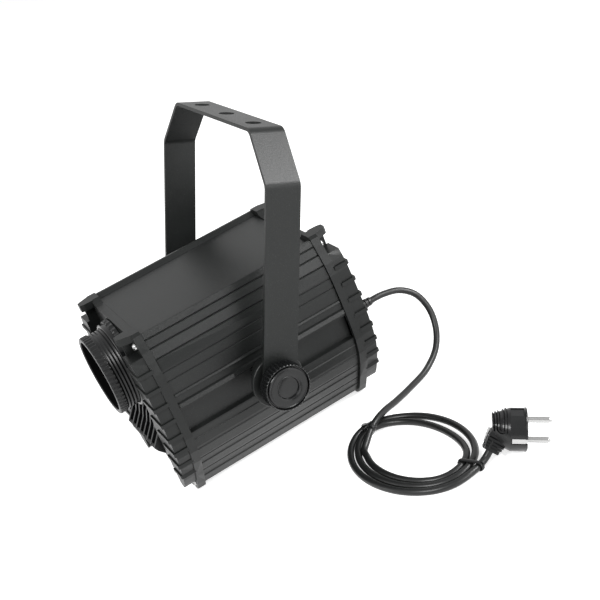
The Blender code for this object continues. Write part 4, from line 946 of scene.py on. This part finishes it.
# %% Slab, rod and joining helpers
SLAB_TURNS = {
    "X": Matrix(((0, 0, 1, 0), (1, 0, 0, 0), (0, 1, 0, 0), (0, 0, 0, 1))),
    "Y": Matrix(((1, 0, 0, 0), (0, 0, -1, 0), (0, 1, 0, 0), (0, 0, 0, 1))),
    "Z": Matrix.Identity(4),
}


def slab(outline, low, high, axis="Y"):
    """An outline given thickness. Its points are (x, z) for axis Y, (y, z) for X and (x, y) for Z."""
    shape = bmesh.new()
    face = shape.faces.new([shape.verts.new((u, v, 0)) for u, v in outline])
    extruded = bmesh.ops.extrude_face_region(shape, geom=[face])["geom"]
    raised = [v for v in extruded if isinstance(v, bmesh.types.BMVert)]
    bmesh.ops.translate(shape, vec=(0, 0, high - low), verts=raised)
    shift = {"X": (low, 0, 0), "Y": (0, high, 0), "Z": (0, 0, low)}[axis]
    bmesh.ops.transform(shape, matrix=Matrix.Translation(shift) @ SLAB_TURNS[axis], verts=shape.verts)
    bmesh.ops.recalc_face_normals(shape, faces=shape.faces)
    return shape


def rod(radius, length, start, axis, sides=48):
    """A plain cylinder, mostly to drill with."""
    return turned([(0, 0), (radius, 0), (radius, length), (0, length)], start, axis, sides)


def joined(shapes):
    """Several shapes held in one mesh, still as separate bodies."""
    whole = bmesh.new()
    for shape in shapes:
        mesh = bpy.data.meshes.new("part")
        shape.to_mesh(mesh)
        shape.free()
        whole.from_mesh(mesh)
        bpy.data.meshes.remove(mesh)
    return whole


# %% [markdown]
# ## A bent strap's outline
#
# A strap of even thickness is a line and the same line moved sideways. At a corner the moved point
# lies on the line that halves the angle, further out the sharper the corner is. A corner becomes a
# bend when an arc takes its place, whose centre lies on that same halving line.

# %% Offset and rounding helpers
def offset_line(line, distance):
    """An open line moved sideways, to its left as it runs."""
    points = [Vector(point) for point in line]
    ways = [(after - before).normalized() for before, after in zip(points, points[1:])]
    normals = [Vector((-way.y, way.x)) for way in ways]
    moved_line = []
    for point, first, second in zip(points, [normals[0], *normals], [*normals, normals[-1]]):
        normal = (first + second).normalized()
        moved_line.append(tuple(point + normal * distance / normal.dot(first)))
    return moved_line


def rounded(line, radius, steps=12):
    """An open line with an arc at each of its inner corners."""
    points = [line[0]]
    for before, corner, after in zip(line, line[1:], line[2:]):
        corner = Vector(corner)
        first, second = (Vector(before) - corner).normalized(), (Vector(after) - corner).normalized()
        half = first.angle(second) / 2
        centre = corner + (first + second).normalized() * radius / math.sin(half)
        start, end = (corner + way * radius / math.tan(half) - centre for way in (first, second))
        for i in range(steps + 1):
            points.append(tuple(centre + start.lerp(end, i / steps).normalized() * radius))
    points.append(line[-1])
    return points


# %% [markdown]
# ## The yoke
#
# The yoke is one flat steel strap, 30 mm wide and 3 mm thick, bent at two shoulders on each side and
# leaning back from the lamp. Its bends need many small steps to look round, so the strap is drawn
# again as an outline with arcs at its corners, cut round at both feet and drilled, and leant last.

# %% Yoke strap
YOKE_LEAN = math.radians(22.7)
YOKE_HALF, YOKE_TOP_HALF = 111.5, 79.0
YOKE_SHOULDER, YOKE_TOP = 162.0, 201.5
YOKE_WIDTH, YOKE_THICKNESS, YOKE_BEND = 30.0, 3.0, 8.0
HOLE_SPACING, HOLE_RADIUS, STUD_HOLE_RADIUS = 54.0, 6.6, 4.6
FOOT_STEPS, FOOT_MARGIN = 48, 2.0

half_width = YOKE_WIDTH / 2
right_side = [(YOKE_HALF, -half_width), (YOKE_HALF, YOKE_SHOULDER), (YOKE_TOP_HALF, YOKE_TOP)]
outer = right_side + [(-x, z) for x, z in reversed(right_side)]
inner = offset_line(outer, YOKE_THICKNESS)
outline = rounded(outer, YOKE_BEND + YOKE_THICKNESS) + list(reversed(rounded(inner, YOKE_BEND)))
strap = slab(outline, -half_width, half_width)

angles = [TURN / 2 * k / FOOT_STEPS for k in range(FOOT_STEPS + 1)]
arc = [(-half_width * math.cos(angle), -half_width * math.sin(angle)) for angle in angles]
past = half_width + FOOT_MARGIN
around_foot = [(-past, 0), *arc, (past, 0), (past, -past), (-past, -past)]
strap = combined(strap, slab(around_foot, -YOKE_HALF - 1, YOKE_HALF + 1, "X"))

holes = [rod(STUD_HOLE_RADIUS, 2 * YOKE_HALF + 2, (-YOKE_HALF - 1, 0, 0), "X")]
for i in (-1, 0, 1):
    place = (i * HOLE_SPACING, 0, YOKE_TOP - 2 * YOKE_THICKNESS)
    holes.append(rod(HOLE_RADIUS, 3 * YOKE_THICKNESS, place, "Z"))
strap = combined(strap, joined(holes))
strap = moved(strap, Matrix.Rotation(-YOKE_LEAN, 4, "X"))
piece("yoke_strap", strap, "yoke", powder, ["yoke_bracket"], edge=0.45)

# %% [markdown]
# ## The gland nut
#
# The nut that squeezes the gland's seal is a moulded dome with flutes for the fingers, and its
# flutes run out where the dome begins. Another turned piece with flutes makes it.

# %% Gland nut
NUT_FLUTES = 12
nut_low, nut_high = box_from_pivot("gland_nut")
nut_reach = nut_high.y - nut_low.y
profile = [
    (7.1, 0),
    (8.9, 0, 0.1),
    (9.2, 0.5, 0.6),
    (9.2, nut_reach - 4.2, 0.6),
    (8.9, nut_reach - 2.4, 0.2),
    (8.2, nut_reach - 1.0),
    (7.2, nut_reach - 0.2),
    (6.4, nut_reach),
    (4.9, nut_reach),
    (4.8, nut_reach - 0.5),
    (4.8, 5.3),
    (7.1, 5.3),
]
shape = turned(profile, (gland_axis[0], nut_low.y, gland_axis[1]), flutes=NUT_FLUTES, closed=True)
piece("gland_dome", shape, "housing", plastic, ["gland_nut"])

# %% [markdown]
# ## Crests on the side ribs
#
# Two ribs of each extruded side have an outer face that leans upwards, so they catch the light as
# pale lines along the body. A strip with a leaning face sits on each of them. The wide one is left
# out where the spacer of the yoke's pivot rests on the rib. Each row gives a strip's height, its
# width, how far its lower and upper edges stand proud, and its stretches along the body.

# %% Rib crests
CREST_FRONT, CREST_REAR, SPACER_REACH = -77.0, 84.5, 25.0
CREST_ROOT, RIB_MARGIN = 1.0, 0.4
CRESTS = (
    (9.4, 3.3, 1.6, 0.05, ((CREST_FRONT, -SPACER_REACH), (SPACER_REACH, CREST_REAR))),
    (19.0, 1.8, 0.8, 0.05, ((CREST_FRONT, CREST_REAR),)),
)
TO_PIVOT = TO_FRAME.inverted()


def places_of(node):
    """The corners of a solid's mesh, in millimetres from the pivot."""
    return [TO_PIVOT @ node.matrix_world @ vertex.co for vertex in node.data.vertices]


shell_places = places_of(nodes["side_shell_right"])
strips = []
for height, width, low_proud, high_proud, stretches in CRESTS:
    rib_x = max(place.x for place in shell_places if abs(place.z - height) < width / 2 + RIB_MARGIN)
    root_x, low_z, high_z = rib_x - CREST_ROOT, height - width / 2, height + width / 2
    face = [(rib_x + low_proud, low_z), (rib_x + high_proud, high_z)]
    outline = [(root_x, low_z), *face, (root_x, high_z)]
    strips += [slab(outline, *stretch) for stretch in stretches]
crests = joined(strips)
for side, turn in SIDES.items():
    piece(f"rib_crests_{side}", moved(crests.copy(), turn), "housing", powder, edge=0.25)
crests.free()

# %% [markdown]
# ## The plug's cup
#
# The plug is one soft moulding round two steel pins and two earth contacts. Its front is a round
# cup, turned, with a raised rim, a slot for each earth contact and a recess on the sides that guide
# it into a socket. It is drawn in the plug's own frame, with the pins along X.

# %% Plug cup
CUP_RADIUS = 17.1
CUT_REACH = 18.5
CONTACT_SLOT_FLOOR, CONTACT_SLOT_HALF = 13.5, 2.5
RECESS_FLOOR, RECESS_HALF = 15.6, 5.2
PIN_HALF_SPACING, PIN_RADIUS, PIN_BORE_DEPTH = 9.5, 2.4, 7
profile = [
    (0, half_depth - 0.7),
    (15.5, half_depth - 0.7),
    (16.1, half_depth - 0.1),
    (16.6, half_depth),
    (17.2, half_depth - 0.15),
    (PLUG_RADIUS, half_depth - 0.6),
    (PLUG_RADIUS, half_depth - 1.7),
    (CUP_RADIUS, half_depth - 2.0),
    (CUP_RADIUS, -half_depth),
    (0, -half_depth),
]
cup = turned(profile, (0, 0, 0), "X")
cuts = []
for side in (-1, 1):
    low, high = sorted((side * CONTACT_SLOT_FLOOR, side * CUT_REACH))
    corners = (1 - half_depth, low, -CONTACT_SLOT_HALF), (half_depth + 1, high, CONTACT_SLOT_HALF)
    cuts.append(block(*corners))
    low, high = sorted((side * RECESS_FLOOR, side * CUT_REACH))
    corners = (0.6 - half_depth, -RECESS_HALF, low), (half_depth - 2.6, RECESS_HALF, high)
    cuts.append(block(*corners))
    bore_start = (half_depth - PIN_BORE_DEPTH, 0, side * PIN_HALF_SPACING)
    cuts.append(rod(PIN_RADIUS + GAP, PIN_BORE_DEPTH + 1, bore_start, "X", 32))
cup = combined(cup, joined(cuts))
print(f"cup of {len(cup.faces)} faces, with {len(cuts)} cuts")

# %% [markdown]
# ## The plug's grip
#
# Behind the cup the plug narrows to a grip, which is the convex hull of the cup's edge and of a
# small rounded back. The curved ribs on the grip are a slightly larger hull cut by thin bands, two
# shaped like a U and a straight one near the back, so that they follow the grip all the way round.

# %% Plug grip and its ribs
GRIP_BACK = -half_depth - PLUG_BACK_DEPTH + 1.2
GRIP_CORNERS = ((5, 7), (-5, 7), (-5, -5), (5, -5))
GRIP_CORNER_RADIUS, GRIP_SHOULDER, GRIP_SWELL = 3.0, 1.4, 1.09
RIB_HEIGHT, BAND_REACH = 1.1, 22


def circle(middle_y, middle_z, radius, steps):
    """Places on a circle across the plug, as (y, z)."""
    angles = [TURN * k / steps for k in range(steps)]
    return [(middle_y + radius * math.cos(a), middle_z + radius * math.sin(a)) for a in angles]


def grip_hull(grow):
    """The convex hull of the cup's edge and the rounded back, larger all round by grow."""
    shape = bmesh.new()
    for y, z in circle(0, 0, CUP_RADIUS + grow, 72):
        shape.verts.new((-half_depth + 0.4, y, z))
    for corner in GRIP_CORNERS:
        for y, z in circle(*corner, GRIP_CORNER_RADIUS + grow, 24):
            shape.verts.new((GRIP_BACK - grow, y, z))
            shape.verts.new((GRIP_BACK + GRIP_SHOULDER, y * GRIP_SWELL, z * GRIP_SWELL))
    hull = bmesh.ops.convex_hull(shape, input=shape.verts)
    unused = [item for item in hull["geom_interior"] if isinstance(item, bmesh.types.BMVert)]
    bmesh.ops.delete(shape, geom=unused, context="VERTS")
    return shape


def u_band(left, right, bottom, thick):
    """A band shaped like a U in the plug's own X and Z, open at the top."""
    reach, middle = (right - left) / 2, (left + right) / 2
    angles = [TURN / 2 * (1 + k / 12) for k in range(13)]
    arcs = []
    for radius in (reach, reach - thick):
        arc = [(middle + radius * math.cos(a), bottom + reach + radius * math.sin(a)) for a in angles]
        arcs.append([(arc[0][0], BAND_REACH), *arc, (arc[-1][0], BAND_REACH)])
    return slab(arcs[0] + arcs[1][::-1], -BAND_REACH, BAND_REACH)


bands = [u_band(-18.4, -9.4, 3.6, 1.2), u_band(-16.1, -11.7, 6.2, 1.0)]
bands.append(block((-20.4, -BAND_REACH, 3.5), (-19.4, BAND_REACH, BAND_REACH)))
ribs = combined(grip_hull(RIB_HEIGHT), joined(bands), "INTERSECT")
print(f"{len(bands)} ribs of {len(ribs.faces)} faces")

# %% [markdown]
# ## The plug's neck
#
# The cord leaves through a neck of square plates with gaps between them, which lets the neck bend.
# Each plate is a rounded square across the neck's own direction, a little smaller than the one
# before, round a slim core. The plates are set out along the neck and carried into the plug's frame.
# Each row gives where a plate starts and ends, and half of its width.

# %% Plug neck and the whole plug
local_root = PLUG_FRAME.inverted() @ neck_root
local_way = (PLUG_FRAME.inverted() @ neck_end - local_root).normalized()
neck_length = (neck_end - neck_root).length
across = (Vector((1, 0, 0)) - local_way * local_way.x).normalized()
neck_axes = Matrix((across, local_way.cross(across), local_way)).transposed()
NECK_FRAME = Matrix.Translation(local_root) @ neck_axes.to_4x4()
PLATES = (
    (4.0, 7.4, 9.0),
    (8.4, 10.4, 8.6),
    (11.3, 13.0, 8.1),
    (13.8, 15.4, 7.6),
    (16.2, neck_length, 6.8),
)
CORE_RADIUS, CORE_END_RADIUS = 6.4, 5.4


def rounded_square(half, corner=1.6):
    """A square outline with rounded corners, from half of its width."""
    points = []
    for quarter, (sx, sy) in enumerate(((1, 1), (-1, 1), (-1, -1), (1, -1))):
        for k in range(7):
            angle = TURN * (quarter + k / 6) / 4
            x, y = corner * math.cos(angle), corner * math.sin(angle)
            points.append((sx * (half - corner) + x, sy * (half - corner) + y))
    return points


neck = [slab(rounded_square(half), near, far, "Z") for near, far, half in PLATES]
core_end = neck_length - 1
core_profile = [(0, 0), (CORE_RADIUS, 0), (CORE_END_RADIUS, core_end), (0, core_end)]
neck.append(turned(core_profile, (0, 0, 0), "Z", 32))
plug_shape = joined([cup, grip_hull(0), ribs, moved(joined(neck), NECK_FRAME)])
plug = piece("plug_moulding", moved(plug_shape, PLUG_FRAME), "housing", plastic, ["plug_body"], edge=0.3)

# %% [markdown]
# ## The cable ties
#
# Two black plastic ties hold the coil. Each is a flat band pulled tight round the bundle, so its
# outline is the outline of the bundle seen end on. The place that reaches furthest in every
# direction gives that outline, and a band of six edges, rounded on the outside, is drawn along it.

# %% Cable ties
TIE_WIDTH, TIE_THICKNESS = 3.2, 1.1
TIE_STEPS, SEARCH_STEPS = 72, 200
TIE_SECTION = ((0.35, 0), (0, 0.35), (0, 0.65), (0.35, 1), (1, 1), (1, 0))


def tie_band(name, solid):
    """A flat band round a solid tie, square to the coil where it sits."""
    held = places_of(nodes[solid])
    middle = sum(held, Vector()) / len(held)
    first_turn = [i / SEARCH_STEPS for i in range(SEARCH_STEPS)]
    turns = min(first_turn, key=lambda t: (coil_point(t) - middle).length)
    way = coil_point(turns + 0.01) - coil_point(turns - 0.01)
    way = Vector((way.x, way.y, 0)).normalized()
    across, up = Vector((way.y, -way.x, 0)), Vector((0, 0, 1))
    shape = bmesh.new()
    rings = []
    for i in range(TIE_STEPS):
        turn = TURN * i / TIE_STEPS
        out = math.cos(turn) * across + math.sin(turn) * up
        far = max(held, key=lambda place: place.dot(out))
        far = far - way * (far - middle).dot(way)
        places = [far - out * TIE_THICKNESS * a + way * TIE_WIDTH * (b - 0.5) for a, b in TIE_SECTION]
        rings.append([shape.verts.new(place) for place in places])
    for i, ring in enumerate(rings):
        after = rings[(i + 1) % TIE_STEPS]
        for j, vertex in enumerate(ring):
            k = (j + 1) % len(ring)
            shape.faces.new((vertex, after[j], after[k], ring[k]))
    bmesh.ops.recalc_face_normals(shape, faces=shape.faces)
    return piece(name, shape, "housing", plastic, [solid])


tie_bands = [tie_band("tie_band_left", "tie_inner"), tie_band("tie_band_right", "tie_outer")]

# %% [markdown]

# %% [markdown]
# ## The floor
#
# A part should look right under any light, so this one stands on a plain pale floor. The floor glows
# white to the camera, and to rays that a shiny or clear surface sends on, so metal and glass show it
# too. To everything else it is plain pale paper, which leaves the blacks black.

# %% Floor
FLOOR_HALF = 6.0
FLOOR_GLOW = 0.7
SEEN_RAYS = ("Is Camera Ray", "Is Glossy Ray", "Is Transmission Ray")
corners = [(x * FLOOR_HALF, y * FLOOR_HALF, 0) for x, y in ((-1, -1), (1, -1), (1, 1), (-1, 1))]
floor_mesh = bpy.data.meshes.new("floor")
floor_mesh.from_pydata(corners, [], [(0, 1, 2, 3)])
floor = bpy.data.objects.new("floor", floor_mesh)
bpy.context.scene.collection.objects.link(floor)
floor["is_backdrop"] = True

paper = Finish("paper_white", Base_Color=(0.8, 0.8, 0.8, 1), Roughness=0.9, Emission_Strength=FLOOR_GLOW)
camera_ray, glossy_ray, clear_ray = (paper.node("LightPath", out=ray) for ray in SEEN_RAYS)
paper.feed(Emission_Color=paper.blend(camera_ray + glossy_ray + clear_ray, (0, 0, 0), (1, 1, 1)))
floor_mesh.materials.append(paper.material)
print(f"floor {2 * FLOOR_HALF:.0f} m square")

# %% [markdown]
# ## The world
#
# The world is white to the same three kinds of rays, and gives a much softer light to all others.
# Its strength is the largest of that soft light and the three answers, so three Math nodes in a row
# each compare one answer with the largest so far, and the first one starts from the soft light.

# %% World
WORLD_LIGHT = 0.22
world = bpy.data.worlds.new("studio")
bpy.context.scene.world = world
world.use_nodes = True
tree = world.node_tree
path = tree.nodes.new("ShaderNodeLightPath")
strongest = None
for ray in SEEN_RAYS:
    larger = tree.nodes.new("ShaderNodeMath")
    larger.operation = "MAXIMUM"
    tree.links.new(path.outputs[ray], larger.inputs[0])
    larger.inputs[1].default_value = WORLD_LIGHT
    if strongest:
        tree.links.new(strongest, larger.inputs[1])
    strongest = larger.outputs[0]
sky = tree.nodes["Background"]
sky.inputs["Color"].default_value = (1, 1, 1, 1)
tree.links.new(strongest, sky.inputs["Strength"])
print(f"a world of strength 1 to the camera and {WORLD_LIGHT} to the object")

# %% [markdown]
# ## The lamps
#
# Four soft lamps light the object: a large one over the right front, one behind on the right for the
# leaning yoke, a low one along the lens and a small one for the ribs of the side. Each is a disk,
# since a wide source gives a soft edge, and is aimed at the middle of the object. Places and sizes
# are in metres and powers in watts.

# %% Lamps
middle = (cad_low + cad_high) / 2


def lamp(name, place, power, size):
    """A soft disk of light, aimed at the middle of the object."""
    data = bpy.data.lights.new(name, "AREA")
    data.energy, data.size, data.shape = power, size, "DISK"
    obj = bpy.data.objects.new(name, data)
    obj.location = place
    obj.rotation_euler = (middle - Vector(place)).to_track_quat("-Z", "Y").to_euler()
    bpy.context.scene.collection.objects.link(obj)
    print(f"lamp {name}: {power} W")


lamp("over_right_front", (0.9, -1.2, 1.5), 32, 0.7)
lamp("behind_right", (0.9, 1.3, 1.2), 38, 0.8)
lamp("along_lens", (-0.5, -1.6, 0.6), 5, 0.8)
lamp("along_side", (1.25, 0.45, 0.55), 6, 0.5)

bpy.context.scene.view_settings.view_transform = "Standard"

# %% The dressed size
low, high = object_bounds()
print("dressed size in mm:", [round(1000 * side, 1) for side in high - low])
